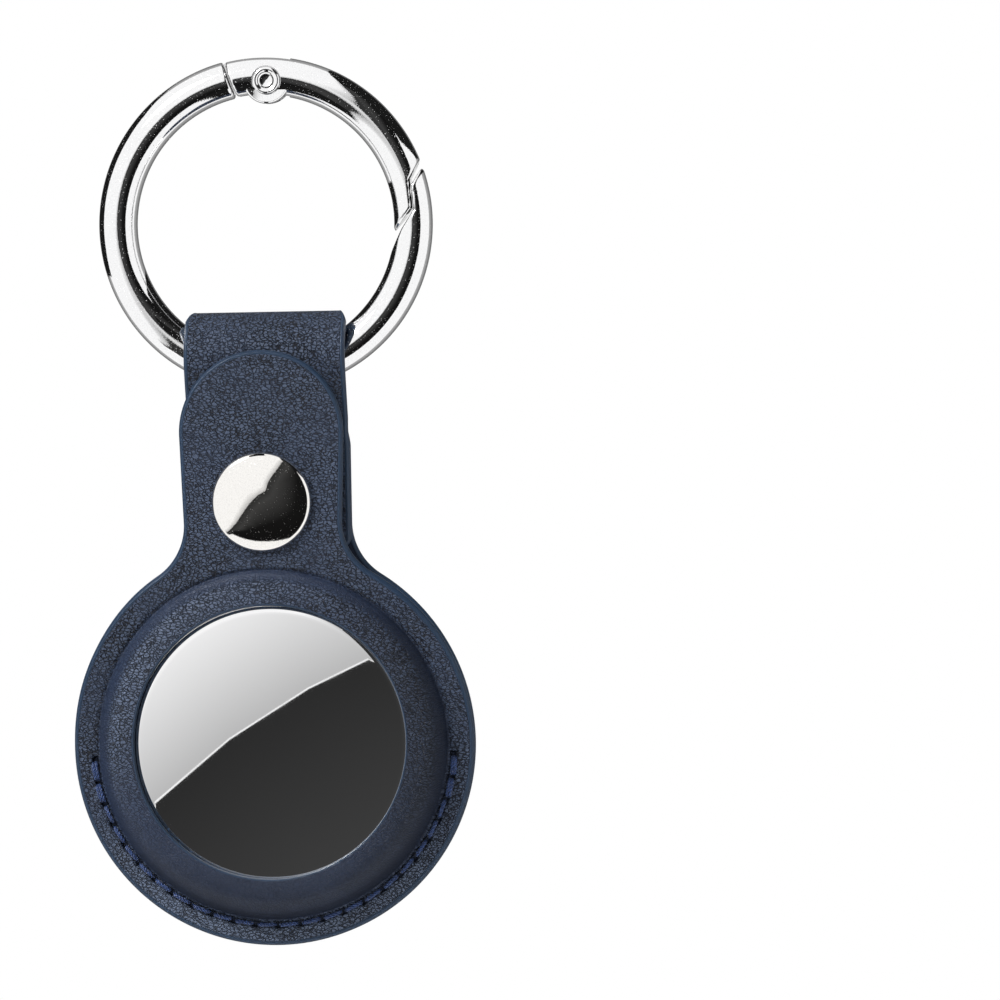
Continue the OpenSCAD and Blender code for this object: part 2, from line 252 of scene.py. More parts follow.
def arc(centre, radius, start, end, count):
    """Points on an arc between two angles in degrees, the end left out."""
    angles = np.radians(np.linspace(start, end, count, endpoint=False))
    return np.stack([centre[0] + radius * np.cos(angles), centre[1] + radius * np.sin(angles)], axis=-1)


def line(a, b, step):
    """Points on a line at about that step, the end left out."""
    count = max(2, int(round(math.dist(a, b) / step)))
    t = np.linspace(0, 1, count, endpoint=False)[:, None]
    return np.asarray(a, float) * (1 - t) + np.asarray(b, float) * t


def loop_normals(loop):
    """Outward normals of a loop that runs anticlockwise."""
    along = np.roll(loop, -1, axis=0) - np.roll(loop, 1, axis=0)
    return unit(np.stack([along[:, 1], -along[:, 0]], axis=-1))


def inside_loop(points, loop):
    """Which points lie inside a loop."""
    x, y = points[:, 0][:, None], points[:, 1][:, None]
    a, b = loop, np.roll(loop, -1, axis=0)
    crosses = (a[:, 1] > y) != (b[:, 1] > y)
    rise = np.where(b[:, 1] == a[:, 1], 1e-9, b[:, 1] - a[:, 1])
    at = a[:, 0] + (y - a[:, 1]) * (b[:, 0] - a[:, 0]) / rise
    return (crosses & (x < at)).sum(axis=1) % 2 == 1


def loop_distance(points, loop):
    """Distance of each point to the nearest corner of a loop."""
    best = np.full(len(points), 1e9)
    for i in range(0, len(loop), 40):
        part = loop[i:i + 40]
        gap = np.sqrt(((points[:, None, :] - part[None]) ** 2).sum(-1)).min(axis=1)
        best = np.minimum(best, gap)
    return best


def fill_between(outer, hole, spacing, margin):
    """Triangles between an outer loop and a hole, with an even grid of points in the wide parts.
    Returns the new points and the triangles, numbered outer first, then hole, then new points."""
    low, high = outer.min(axis=0), outer.max(axis=0)
    rows = []
    height = spacing * math.sqrt(3) / 2
    for k, y in enumerate(np.arange(low[1], high[1], height)):
        xs = np.arange(low[0] + (k % 2) * spacing / 2, high[0], spacing)
        rows.append(np.stack([xs, np.full(len(xs), y)], axis=-1))
    grid = np.concatenate(rows)
    loops = [outer] if hole is None else [outer, hole]
    for loop in loops:
        grid = grid[inside_loop(grid, loop) == (loop is outer)]
        grid = grid[loop_distance(grid, loop) > margin]
    points = np.concatenate(loops + [grid])
    edges, start = [], 0
    for loop in loops:
        edges += [(start + i, start + (i + 1) % len(loop)) for i in range(len(loop))]
        start += len(loop)
    result = delaunay_2d_cdt([Vector(p) for p in points], edges, [], 0, 1e-6)
    origin = [o[0] for o in result[3]]
    triangles = np.array([[origin[i] for i in f] for f in result[2]])
    middle = points[triangles].mean(axis=1)
    keep = np.all([inside_loop(middle, loop) == (loop is outer) for loop in loops], axis=0)
    return grid, triangles[keep]


# Leather patterns

CIRCLE_STEPS = 720
DISC_STEPS = 480
NECK_STEPS = 36
STRAP_CORNER = 0.9
EDGE_ROUND = 0.34
WINDOW_ROUND = 0.15
FILL_R = 18.7
MARGIN_SHARE = 0.6


def neck(half_w):
    """Centre of the hollow curve between disc and strap, and its angle on the disc."""
    x = half_w + NECK_R
    up = math.sqrt((DISC_R + NECK_R) ** 2 - x ** 2)
    return (x, up), math.degrees(math.atan2(up, x))


def leather_outline(neck_half, end_half, end_up, round_end):
    """The outline of a disc with a strap above it, anticlockwise from the lowest point."""
    centre, angle = neck(neck_half)
    half = [arc((0, 0), DISC_R, -90, angle, DISC_STEPS)]
    half.append(arc(centre, NECK_R, angle + 180, 180, NECK_STEPS))
    if round_end:
        shoulder = end_up - end_half
        half.append(line((neck_half, centre[1]), (end_half, shoulder), 0.22))
        half.append(arc((0, shoulder), end_half, 0, 90, 90))
    else:
        corner = STRAP_CORNER
        half.append(line((neck_half, centre[1]), (end_half, end_up - corner), 0.3))
        half.append(arc((end_half - corner, end_up - corner), corner, 0, 90, 10))
        half.append(line((end_half - corner, end_up), (0, end_up), 0.3))
    right = np.concatenate(half)
    left = right[1:][::-1] * np.array([-1, 1])
    return np.concatenate([right, [[0, end_up]], left])


class Sheet:
    """A flat pattern: its points, its faces, and the loops along its outer edge and its hole."""

    def __init__(self, outline, radii, spacing, inset, centre_spacing=None, hole_up=0.0):
        normals = loop_normals(outline)
        self.edge_normals = normals
        border = outline - normals * inset
        turns = np.radians(np.arange(CIRCLE_STEPS) * 360 / CIRCLE_STEPS)
        circle = np.stack([np.cos(turns), np.sin(turns)], axis=-1)
        rings = []
        for r in radii:
            lift = hole_up * min(1.0, max(0.0, (FILL_R - r) / (FILL_R - radii[0])) * 1.6)
            rings.append(circle * r + np.array([0, lift]))
        grid, triangles = fill_between(border, rings[-1], spacing, spacing * MARGIN_SHARE)
        count, outer = CIRCLE_STEPS, len(border)
        points = [border, rings[-1], grid] + rings[:-1]
        self.outer = list(range(outer))
        start = outer + count + len(grid)
        ladder = []
        for _ in rings[:-1]:
            ladder.append(list(range(start, start + count)))
            start += count
        ladder.append(list(range(outer, outer + count)))
        faces = [tuple(t) for t in triangles] + ring_faces(*ladder)
        if centre_spacing:
            margin = centre_spacing * MARGIN_SHARE
            inner_grid, inner_triangles = fill_between(rings[0], None, centre_spacing, margin)
            table = ladder[0] + list(range(start, start + len(inner_grid)))
            points.append(inner_grid)
            faces += [tuple(table[i] for i in t) for t in inner_triangles]
            self.hole = None
        else:
            self.hole = ladder[0]
        self.points = np.concatenate(points)
        self.faces = faces
        self.inset = inset


def leather_piece(name, sheet, surface, top, bottom, edge, hole_edge=None):
    """A sheet given its thickness. surface(x, u, h) puts a point of the flat pattern in the frame,
    with h counted from the leather's inner face. edge is (inset, h) from the top to the bottom."""
    count = len(sheet.points)
    flat = [np.column_stack([sheet.points, np.full(count, h)]) for h in (top, bottom)]
    faces = sheet.faces + [tuple(i + count for i in reversed(f)) for f in sheet.faces]
    start = 2 * count

    def wrap(loop, normals, profile, reach):
        nonlocal start
        base = sheet.points[loop]
        rows = [list(loop)]
        for inset, h in profile:
            flat.append(np.column_stack([base + normals * (reach - inset), np.full(len(loop), h)]))
            rows.append(list(range(start, start + len(loop))))
            start += len(loop)
        rows.append([i + count for i in loop])
        faces.extend(ring_faces(*rows))

    wrap(sheet.outer, sheet.edge_normals, edge, sheet.inset)
    if sheet.hole is not None:
        loop = sheet.hole
        wrap(loop, -loop_normals(sheet.points[loop]), hole_edge, WINDOW_ROUND + 0.1)
    flat = np.concatenate(flat)
    piece = outward(mesh_piece(name, surface(*flat.T), faces))
    point_values(piece, "flat", flat)
    return piece, flat


def painted_edge(reach, steps=14, lip=0.03):
    """The rounded and painted edge that covers both layers, from the outer face to the inner one."""
    profile = [(reach + 0.05, LEATHER_T), (reach + 0.02, LEATHER_T + lip * 0.2)]
    for angle in np.linspace(82, -90, steps):
        t = math.radians(angle)
        bulge = lip if angle > 60 else 0
        profile.append((reach * (1 - math.cos(t)), LEATHER_T / 2 * (1 + math.sin(t)) + bulge))
    profile.append((reach + 0.04, 0))
    profile.append((reach + 0.05, LINING_T))
    return profile


def lining_edge(reach):
    return [(reach + 0.08, LINING_T - 0.04), (reach + 0.06, LINING_T - 0.08), (reach + 0.06, 0.05),
            (reach + 0.09, 0.0)]


# The moulded pocket: how much of its height is left at each radius
front_bulge = curve_through([(0, 1), (13.6, 1), (14.4, 0.985), (15.0, 0.94), (15.6, 0.81), (16.2, 0.56),
                             (16.7, 0.25), (17.0, 0.08), (17.25, 0.0), (30, 0.0)])
back_bulge = curve_through([(0, 1), (12.4, 1), (13.4, 0.985), (14.4, 0.92), (15.2, 0.79), (15.9, 0.58),
                            (16.5, 0.27), (16.8, 0.09), (17.05, 0.0), (30, 0.0)])


def noise_2d(x, y, scale, seed):
    """Smooth noise from a few plane waves, between about -1 and 1."""
    random = np.random.default_rng(seed)
    total = np.zeros_like(x)
    for _ in range(14):
        angle = random.uniform(0, 2 * math.pi)
        pitch = scale * random.uniform(0.6, 1.5)
        phase = random.uniform(0, 2 * math.pi)
        total += np.sin((x * math.cos(angle) + y * math.sin(angle)) * 2 * math.pi / pitch + phase)
    return total / 4.5


GROOVE_DEPTH = 0.2
GROOVE_WIDTH = 0.27
HOLE_DEPTH = 0.6
HOLE_LENGTH = 0.42
HOLE_WIDTH = 0.27
CREASE_DEPTH = 0.2
WRINKLE_DEPTH = 0.035
BACK_CREASE_DEPTH = 0.12
LOOP_NARROWING = 0.1


def stitch_angle(k):
    """Angle of a stitch hole about the middle of the disc, in degrees."""
    return 180 + SEAM_END + (180 - 2 * SEAM_END) * k / STITCHES


def stitch_holes():
    """Angle and place of each stitch hole."""
    for k in range(STITCHES + 1):
        angle = math.radians(stitch_angle(k))
        yield angle, SEAM_R * math.cos(angle), SEAM_R * math.sin(angle)


def seam_share(x, up):
    """1 where the disc is stitched, 0 above the ends of the seam."""
    angle = np.degrees(np.arctan2(up, x)) % 360
    return smoothstep(np.minimum(angle - stitch_angle(0) + 2, stitch_angle(STITCHES) + 2 - angle) / 2)


def seam_dents(x, up, r):
    """Depth of the groove that the thread pulls, and of the holes."""
    groove = GROOVE_DEPTH * np.exp(-((r - SEAM_R) / GROOVE_WIDTH) ** 2)
    holes = np.zeros_like(r)
    for angle, hole_x, hole_up in stitch_holes():
        along = -(x - hole_x) * math.sin(angle) + (up - hole_up) * math.cos(angle)
        out = (x - hole_x) * math.cos(angle) + (up - hole_up) * math.sin(angle)
        holes = np.maximum(holes, np.exp(-(along / HOLE_LENGTH) ** 4 - (out / HOLE_WIDTH) ** 4))
    return seam_share(x, up) * (groove + HOLE_DEPTH * holes)


def hole_shade_share(x, up):
    """1 in the stitch holes and part of that along the seam, where shade is painted into the leather's
    colour.
    """
    value = 0.7 * np.exp(-((np.hypot(x, up) - SEAM_R) / 0.24) ** 2)
    for _, hole_x, hole_up in stitch_holes():
        value = np.maximum(value, np.exp(-(np.hypot(x - hole_x, up - hole_up) / 0.4) ** 4))
    return value * seam_share(x, up)


def front_depth(x, up):
    """Depth of the outer face of the front leather."""
    r = np.hypot(x, up)
    lean = FLAP_RIM_D + (up - HINGE_UP) * (FLAP_D - FLAP_RIM_D) / (FLAP_BEND - HINGE_UP)
    plane = smooth_min(FLAP_D, smooth_max(RIM_D, lean, 0.35), 0.5)
    depth = plane + (FRONT_D - plane) * front_bulge(r)
    open_part = 1 - seam_share(x, up)
    crease = CREASE_DEPTH * np.exp(-((r - 17.0) / 0.2) ** 2) - 0.05 * np.exp(-((r - 17.6) / 0.35) ** 2)
    depth -= open_part * crease * np.clip((22 - up) / 2, 0, 1)
    depth -= seam_dents(x, up, r)
    top = np.clip((up - 8) / 6, 0, 1) * np.exp(-((r - 18.0) / 0.7) ** 2)
    turn = np.arctan2(up, x) * 18
    depth += WRINKLE_DEPTH * top * noise_2d(r * 2.4, turn * 0.45, scale=1.1, seed=5)
    return depth


def below(depth_of, x, up, drop):
    """Points at a distance from a surface, straight in from it."""
    step = 0.02
    slope_x = (depth_of(x + step, up) - depth_of(x - step, up)) / (2 * step)
    slope_up = (depth_of(x, up + step) - depth_of(x, up - step)) / (2 * step)
    size = np.sqrt(1 + slope_x ** 2 + slope_up ** 2)
    return world(x - slope_x / size * drop, up - slope_up / size * drop, depth_of(x, up) + drop / size)


def front_surface(x, u, h):
    """The front leather: h above its inner face, at x and up."""
    points = below(front_depth, x, u, h - LEATHER_T)
    points[:, 0] -= TAB_ASIDE * smoothstep((u - 9) / 10)
    return points


# The folded strap

PATH_START = 20.0
PATH_STEP = 0.05
PATH_SOFT = 0.55


def strap_path():
    """A path in (depth, up) along the middle of the leather: up the back, over the ring and down
    behind the tab, with its corners softened."""
    radius = LOOP_IN_R + LEATHER_T / 2 + 0.06
    centre = np.array([LOOP_D, LOOP_UP])
    back = np.array([BACK_PROUD + LEATHER_T / 2, LOOP_APEX + 0.15])
    front = np.array([SEAM_D + LEATHER_T / 2, LOOP_APEX + 0.15])

    def touch(corner, side):
        away = centre - corner
        reach = np.linalg.norm(away)
        turn = math.atan2(away[1], away[0]) + side * math.asin(radius / reach)
        return corner + np.array([math.cos(turn), math.sin(turn)]) * math.sqrt(reach ** 2 - radius ** 2)

    def angle_at(point):
        return math.degrees(math.atan2(*(point - centre)[::-1])) % 360

    first, last = touch(back, 1), touch(front, -1)
    start, end = angle_at(first), angle_at(last)
    end = end - 360 if end > 180 else end
    rough = np.concatenate([line((back[0], PATH_START), back, 0.1), line(back, first, 0.1),
                            arc(centre, radius, start, end, 140), line(last, front, 0.1),
                            line(front, (front[0], STRAP_END - 3), 0.1)])
    ahead = lengths(rough)
    even = np.arange(0, ahead[-1], PATH_STEP)
    fine = np.stack([np.interp(even, ahead, rough[:, i]) for i in (0, 1)], axis=-1)
    width = int(PATH_SOFT / PATH_STEP)
    kernel = np.exp(-0.5 * (np.arange(-3 * width, 3 * width + 1) / width) ** 2)
    kernel /= kernel.sum()
    lead = fine[0] + (fine[1] - fine[0]) * np.arange(-3 * width, 0)[:, None]
    tail = fine[-1] + (fine[-1] - fine[-2]) * np.arange(1, 3 * width + 1)[:, None]
    padded = np.concatenate([lead, fine, tail])
    return np.stack([np.convolve(padded[:, i], kernel, mode="valid") for i in (0, 1)], axis=-1)


STRAP = strap_path()
STRAP_AHEAD = lengths(STRAP)
STRAP_DOWN = STRAP[:, 1] < STRAP_END + 0.025
STRAP_LENGTH = STRAP_AHEAD[(np.arange(len(STRAP)) > len(STRAP) // 2) & STRAP_DOWN][0]


def back_depth(x, up):
    """Depth of the outer face of the back leather, which looks away from the viewer."""
    r = np.hypot(x, up)
    depth = BACK_PROUD * (1 - back_bulge(r))
    crease = BACK_CREASE_DEPTH * np.exp(-((r - 17.1) / 0.25) ** 2) * (1 - seam_share(x, up))
    return depth + crease * np.clip((18.5 - up) / 2, 0, 1) + seam_dents(x, up, r)


def back_surface(x, u, h):
    """The back leather with its strap: h above its inner face, at x and the length u along it."""
    lower = below(back_depth, x, np.minimum(u, PATH_START), LEATHER_T - h)
    along = np.clip(u - PATH_START, 0, STRAP_AHEAD[-1])
    tangent = unit(np.gradient(STRAP, axis=0))
    columns = np.concatenate([STRAP, tangent], axis=1).T
    d, up, td, tu = (np.interp(along, STRAP_AHEAD, column) for column in columns)
    size = np.hypot(td, tu)
    lift = h - LEATHER_T / 2
    far_side = np.clip((6.5 - d) / 3, 0, 1) * np.clip((up - 29) / 3, 0, 1)
    upper = world(x * (1 - LOOP_NARROWING * far_side), up + td / size * lift, d - tu / size * lift)
    return np.where((u > PATH_START)[:, None], upper, lower)


# The leather pieces

def spaced_radii(first, last, bulge, height, step):
    """Radii whose rings are evenly spaced along the moulded surface."""
    fine = np.linspace(first, last, 2000)
    depth = height * bulge(fine)
    ahead = np.concatenate([[0], np.cumsum(np.hypot(np.diff(fine), np.diff(depth)))])
    count = int(ahead[-1] / step)
    return np.interp(np.linspace(0, ahead[-1], count), ahead, fine)


INSET = 0.44
LINING_GAP = 0.02
FRONT_RADII = spaced_radii(WINDOW_R + WINDOW_ROUND + 0.1, FILL_R, front_bulge, FRONT_D - RIM_D, step=0.09)
BACK_RADII = spaced_radii(12.2, FILL_R, back_bulge, BACK_PROUD, step=0.11)
front_pattern = leather_outline(TAB_NECK_W / 2, TAB_END_W / 2, TAB_TOP, True)
back_pattern = leather_outline(STRAP_W / 2, STRAP_W / 2, PATH_START + STRAP_LENGTH, False)
front_sheet = Sheet(front_pattern, FRONT_RADII, spacing=0.28, inset=INSET, hole_up=WINDOW_UP)
back_sheet = Sheet(back_pattern, BACK_RADII, spacing=0.34, inset=INSET, centre_spacing=0.6)


def outer_leather(name, sheet, surface, *rounds):
    """Outer leather. rounds are the roundings of its edge and of its hole, which are painted."""
    piece, flat = leather_piece(name, sheet, surface, LEATHER_T, LINING_T, *map(painted_edge, rounds))
    point_values(piece, "painted", np.arange(len(flat)) >= 2 * len(sheet.points))
    # Painted shade in the stitch holes and along the seam
    point_values(piece, "hole", hole_shade_share(flat[:, 0], flat[:, 1]))
    return piece


def inner_lining(name, sheet, surface, *rounds):
    edges = map(lining_edge, rounds)
    return leather_piece(name, sheet, surface, LINING_T - LINING_GAP, 0, *edges)[0]


front_leather = outer_leather("front_leather", front_sheet, front_surface, EDGE_ROUND, WINDOW_ROUND)
front_inner = inner_lining("front_leather_lining", front_sheet, front_surface, EDGE_ROUND, WINDOW_ROUND)
back_leather = outer_leather("back_leather", back_sheet, back_surface, EDGE_ROUND)
back_inner = inner_lining("back_leather_lining", back_sheet, back_surface, EDGE_ROUND)


# Thread

def tube(path, radius, sides):
    """Points and faces of a tube along a path, closed at both ends."""
    path = np.asarray(path, float)
    along = unit(np.gradient(path, axis=0))
    side = np.zeros_like(path)
    start = np.cross(along[0], [0.3, 0.2, 0.93])
    side[0] = start / np.linalg.norm(start)
    for i in range(1, len(path)):
        kept = side[i - 1] - along[i] * np.dot(side[i - 1], along[i])
        side[i] = kept / np.linalg.norm(kept)
    other = np.cross(along, side)
    turns = np.arange(sides) * 2 * math.pi / sides
    cosine, sine = np.cos(turns)[None, :, None], np.sin(turns)[None, :, None]
    ring = cosine * side[:, None, :] + sine * other[:, None, :]
    points = (path[:, None, :] + radius * ring).reshape(-1, 3)
    return points, tube_faces(len(path), sides)


def joined(parts):
    """Several sets of points and faces as one."""
    points, faces, start = [], [], 0
    for p, f in parts:
        points.append(p)
        faces += [tuple(i + start for i in face) for face in f]
        start += len(p)
    return np.concatenate(points), faces


PLY_R = 0.115
PLY_OFFSET = 0.105
TWISTS_PER_MM = 0.95
SECOND_ROW = 0.24
DOUBLED = ((0, 2), (STITCHES - 2, STITCHES))
rise_of_stitch = curve_through([(0, 0), (0.07, 0.1), (0.12, 0.45), (0.18, 0.85), (0.26, 1), (0.5, 1.05),
                                (0.74, 1), (0.82, 0.85), (0.88, 0.45), (0.93, 0.1), (1, 0)])


def stitch_line(first, last, face, offset):
    """The path of the thread on one face, from the hole first to the hole last."""
    rows = []
    top = RIM_D + 0.04 if face > 0 else BACK_PROUD - 0.04
    for k in range(first, last):
        t = np.linspace(0, 1, 36, endpoint=k == last - 1)
        angle = np.radians(stitch_angle(k) + (stitch_angle(k + 1) - stitch_angle(k)) * t)
        slant = offset + 0.05 * (1 - 2 * t) * np.sin(np.pi * t)
        radius = SEAM_R + slant
        depth = SEAM_D + (top - SEAM_D) * rise_of_stitch(t)
        rows.append(world(radius * np.cos(angle), radius * np.sin(angle), depth))
    return np.concatenate(rows)


def plies(path):
    """Three twisted plies along a path."""
    along = unit(np.gradient(path, axis=0))
    side = unit(np.cross(along, unit(path * np.array([1, 0, 1]))))
    up = np.cross(side, along)
    ahead = lengths(path)
    parts = []
    for ply in range(3):
        phase = 2 * math.pi * (ahead * TWISTS_PER_MM + ply / 3)
        strand = path + PLY_OFFSET * (np.cos(phase)[:, None] * up + np.sin(phase)[:, None] * side)
        parts.append(tube(strand, PLY_R, 7))
    return parts


thread_parts = []
for face in (1, -1):
    thread_parts += plies(stitch_line(0, STITCHES, face, 0.0))
    for first, last in DOUBLED:
        thread_parts += plies(stitch_line(first, last, face, SECOND_ROW))
thread = outward(mesh_piece("seam_stitches", *joined(thread_parts)))


# Turned pieces

def lathe(name, profile, centre_up, base_depth, direction=1, steps=160):
    """A turned piece. profile is (radius, height) and the height counts from base_depth towards the
    viewer, or away from the viewer where direction is -1. A profile that starts off the axis is closed."""
    turns = np.arange(steps) * 2 * math.pi / steps
    points, rows = [], []
    for radius, height in profile:
        depth = base_depth + direction * height
        if radius < 1e-6:
            rows.append([len(points)] * steps)
            points.append((0, -depth, centre_up))
        else:
            rows.append(range(len(points), len(points) + steps))
            points += [(radius * math.cos(t), -depth, centre_up + radius * math.sin(t)) for t in turns]
    if profile[0][0] > 0:
        rows.append(rows[0])
    faces = [tuple(dict.fromkeys(face)) for face in ring_faces(*rows)]
    return outward(mesh_piece(name, points, [face for face in faces if len(face) > 2]))


def rounded(corners, radius, steps=4):
    """A profile with its corners rounded. The ends stay as they are."""
    result = [corners[0]]
    for a, b, c in zip(corners[:-2], corners[1:-1], corners[2:]):
        to_a, to_c = Vector(a) - Vector(b), Vector(c) - Vector(b)
        cut = min(radius, to_a.length * 0.45, to_c.length * 0.45)
        start, end = Vector(b) + to_a.normalized() * cut, Vector(b) + to_c.normalized() * cut
        for i in range(steps + 1):
            t = i / steps
            p = start * (1 - t) ** 2 + Vector(b) * (2 * t * (1 - t)) + end * t ** 2
            result.append((p.x, p.y))
    result.append(corners[-1])
    return result


def crown(steps=60):
    """The dome of a snap cap, from the middle to its rim: evenly curved, then rolled over."""
    share = np.sin(np.linspace(0, math.pi / 2, steps + 1))
    roll = np.clip((share - DOME_SHARE) / (1 - DOME_SHARE), 0, 1) ** 1.5
    slope = np.tan(np.radians(DOME_ANGLE * share + (RIM_ANGLE - DOME_ANGLE) * roll))
    across = share * (CAP_R - 0.02)
    fall = np.concatenate([[0], np.cumsum((slope[1:] + slope[:-1]) / 2 * np.diff(across))])
    points = [(float(r), float(CAP_H - h)) for r, h in zip(across, fall)]
    rim = [(CAP_R - inward, height) for inward, height in CAP_RIM]
    return points + rim


def snap_cap(name, base_depth, direction, post_length, flare):
    """A cap with its hollow post, flared where flare is more than 0."""
    post, inside = 1.5, 0.4
    shape = crown() + [(post + 0.06, 0.0), (post, -0.06), (post, -post_length)]
    if flare:
        shape += [(post + 0.3, -post_length + 0.02), (post + flare, -post_length),
                  (post + flare, -post_length - 0.1), (post - 0.3, -post_length - 0.1)]
    else:
        shape += [(post - inside, -post_length)]
    shape += [(post - inside, 0.3), (0, 0.35)]
    return lathe(name, shape, SNAP_UP, base_depth, direction, steps=192)


front_dome = snap_cap("front_snap_cap", FLAP_D, 1, post_length=LEATHER_T + 0.55, flare=0.45)
cap_middle = Vector((0, -FLAP_D * MM, SNAP_UP * MM))
tilt = Matrix.Translation(cap_middle) @ Matrix.Rotation(math.radians(CAP_TILT), 4, "X")
aside = Matrix.Translation((-TAB_ASIDE * MM, 0, 0))
front_dome.data.transform(aside @ tilt @ Matrix.Translation(-cap_middle))
back_dome = snap_cap("back_snap_cap", BACK_PROUD, -1, post_length=2 * LEATHER_T + 0.9, flare=0)

STUD = [(1.5, 0), (3.75, 0), (3.75, 0.5), (2.3, 0.5), (1.85, 0.8), (2.05, 1.3), (2.05, 1.65), (1.7, 2.05),
        (0, 2.05)]
stud = lathe("snap_stud_male", rounded(STUD, 0.14) + [(0, 1.8), (1.5, 1.6)], SNAP_UP, RIM_D, 1)
SOCKET = [(1.5, 0), (4.25, 0), (4.25, 1.95), (4.05, 2.15), (2.3, 2.15), (2.3, 1.9), (3.3, 1.9), (3.3, 1.05),
          (2.3, 1.05), (2.3, 0.55), (1.5, 0.55)]
socket = lathe("snap_socket_female", rounded(SOCKET, 0.1), SNAP_UP, FLAP_D - LEATHER_T, -1)


# Tag

def quarter(flat_r, reach, side, steps=40):
    """The rounded flank of the tag, from its flat face to its widest line."""
    turns = [math.pi / 2 * i / steps for i in range(steps + 1)]
    return [(flat_r + reach * math.sin(t), TAG_MID + side * SHELL_HALF * math.cos(t)) for t in turns]


TAG_R = 15.95
TAG_BACK = 1.25
COVER_SAG = 0.3
SHELL_HALF = 4.0
COVER_SEAT = 8.75
SHELL_INSIDE = [(12.55, 8.45), (12.55, 7.9), (14.2, 7.9), (14.9, 6.2), (14.95, 5.25), (14.5, 3.65),
                (13.2, 2.45), (12.0, 2.15), (0, 2.15)]
shell_back = quarter(BACK_FLAT, TAG_R - BACK_FLAT, -1)
shell_front = quarter(COVER_R + 0.05, TAG_R - COVER_R - 0.05, 1)
shell_lip = [(COVER_R + 0.03, TAG_FRONT - 0.03), (COVER_R + 0.02, 8.45)]
shell_profile = [(0, TAG_BACK)] + shell_back + shell_front[:-1][::-1] + shell_lip + SHELL_INSIDE
shell = lathe("tag_white_shell", shell_profile, 0, 0, steps=240)


def cover_top(r):
    """Height of the polished face, which is very slightly domed."""
    return TAG_FRONT - COVER_SAG * (r / COVER_R) ** 2 - 0.1 * (max(0.0, r - 12.95) / 0.7) ** 2


cover_edge = cover_top(COVER_R)
cover_profile = [(0, COVER_SEAT), (11.5, COVER_SEAT), (11.5, 7.3), (12.5, 7.3), (12.5, COVER_SEAT),
                 (COVER_R - 0.05, COVER_SEAT), (COVER_R, COVER_SEAT + 0.05), (COVER_R, cover_edge - 0.06),
                 (COVER_R - 0.04, cover_edge - 0.015)]
cover_profile += [(r, cover_top(r)) for r in np.linspace(COVER_R - 0.1, 0, 60)]
cover = lathe("tag_steel_cover", cover_profile, 0, 0, steps=240)


# Ring and gate

def ring_space(x, up, out):
    """Points drawn from the middle of the ring, as seen from the front."""
    x, up = np.asarray(x, float), np.asarray(up, float)
    turn = math.radians(RING_TURN)
    right = x * math.cos(turn) + up * math.sin(turn)
    above = up * math.cos(turn) - x * math.sin(turn)
    return np.stack([right, -np.asarray(out, float) - LOOP_D, above + RING_UP], axis=-1)


def torus(name, sides=96):
    """The whole wire, with finer steps where the latch and the heel are cut."""
    a = np.radians(np.concatenate([np.arange(-6, 34, 0.3), np.arange(34, 98, 1.0), np.arange(98, 114, 0.3),
                                   np.arange(114, 354, 1.0)]))[:, None]
    b = (np.arange(sides) * 2 * math.pi / sides)[None, :]
    radius = RING_R + WIRE_R * np.cos(b) + 0 * a
    points = ring_space(radius * np.cos(a), radius * np.sin(a), WIRE_R * np.sin(b) + 0 * a).reshape(-1, 3)
    return outward(mesh_piece(name, points, tube_faces(len(a), sides, joined=True)))


def prism(name, outline, low, high):
    """A flat outline drawn from the middle of the ring, between two depths."""
    across, up = np.asarray(outline, float).T
    ends = [ring_space(across, up, np.full(len(up), depth)) for depth in (low, high)]
    return outward(mesh_piece(name, np.concatenate(ends), tube_faces(2, len(up))))


def combine(target, tool, operation):
    """A boolean that is applied at once. The tool is removed."""
    modifier = target.modifiers.new("cut", "BOOLEAN")
    modifier.operation = operation
    modifier.solver = "EXACT"
    modifier.object = tool
    bpy.context.view_layer.update()
    graph = bpy.context.evaluated_depsgraph_get()
    result = bpy.data.meshes.new_from_object(target.evaluated_get(graph))
    target.modifiers.clear()
    old = target.data
    target.data = result
    bpy.data.meshes.remove(old)
    bpy.data.objects.remove(tool)


def smooth_by_angle(piece, degrees=32):
    """Smooth shading that stops at sharp edges."""
    mesh = piece.data
    mesh.polygons.foreach_set("use_smooth", [True] * len(mesh.polygons))
    bm = bmesh.new()
    bm.from_mesh(mesh)
    bmesh.ops.remove_doubles(bm, verts=bm.verts, dist=2e-7)
    limit = math.radians(degrees)
    for edge in bm.edges:
        edge.smooth = len(edge.link_faces) == 2 and edge.calc_face_angle(0) < limit
    bm.to_mesh(mesh)
    bm.free()


HEEL_SLANT = math.radians(21)
HEEL_D = 3.3
HEEL_GAP = 0.22
GATE_LATCH = [(16.63, 9.36), (14.05, 4.55), (14.3, 1.75), (12.76, -0.13), (11.0, -2.5)]
BODY_LATCH = [(17.2, 8.9), (14.29, 4.0), (14.56, 1.62), (13.27, -0.22), (12.7, -1.35), (11.4, -4.0)]


def heel_line(distance):
    """The slanted cut at the gate's heel, at a distance from the pin."""
    cosine, sine = math.cos(HEEL_SLANT), math.sin(HEEL_SLANT)
    return [(-distance * cosine - t * sine, PIVOT_UP - distance * sine + t * cosine) for t in (-6, 8)]


SOFT_EDGE = 0.27


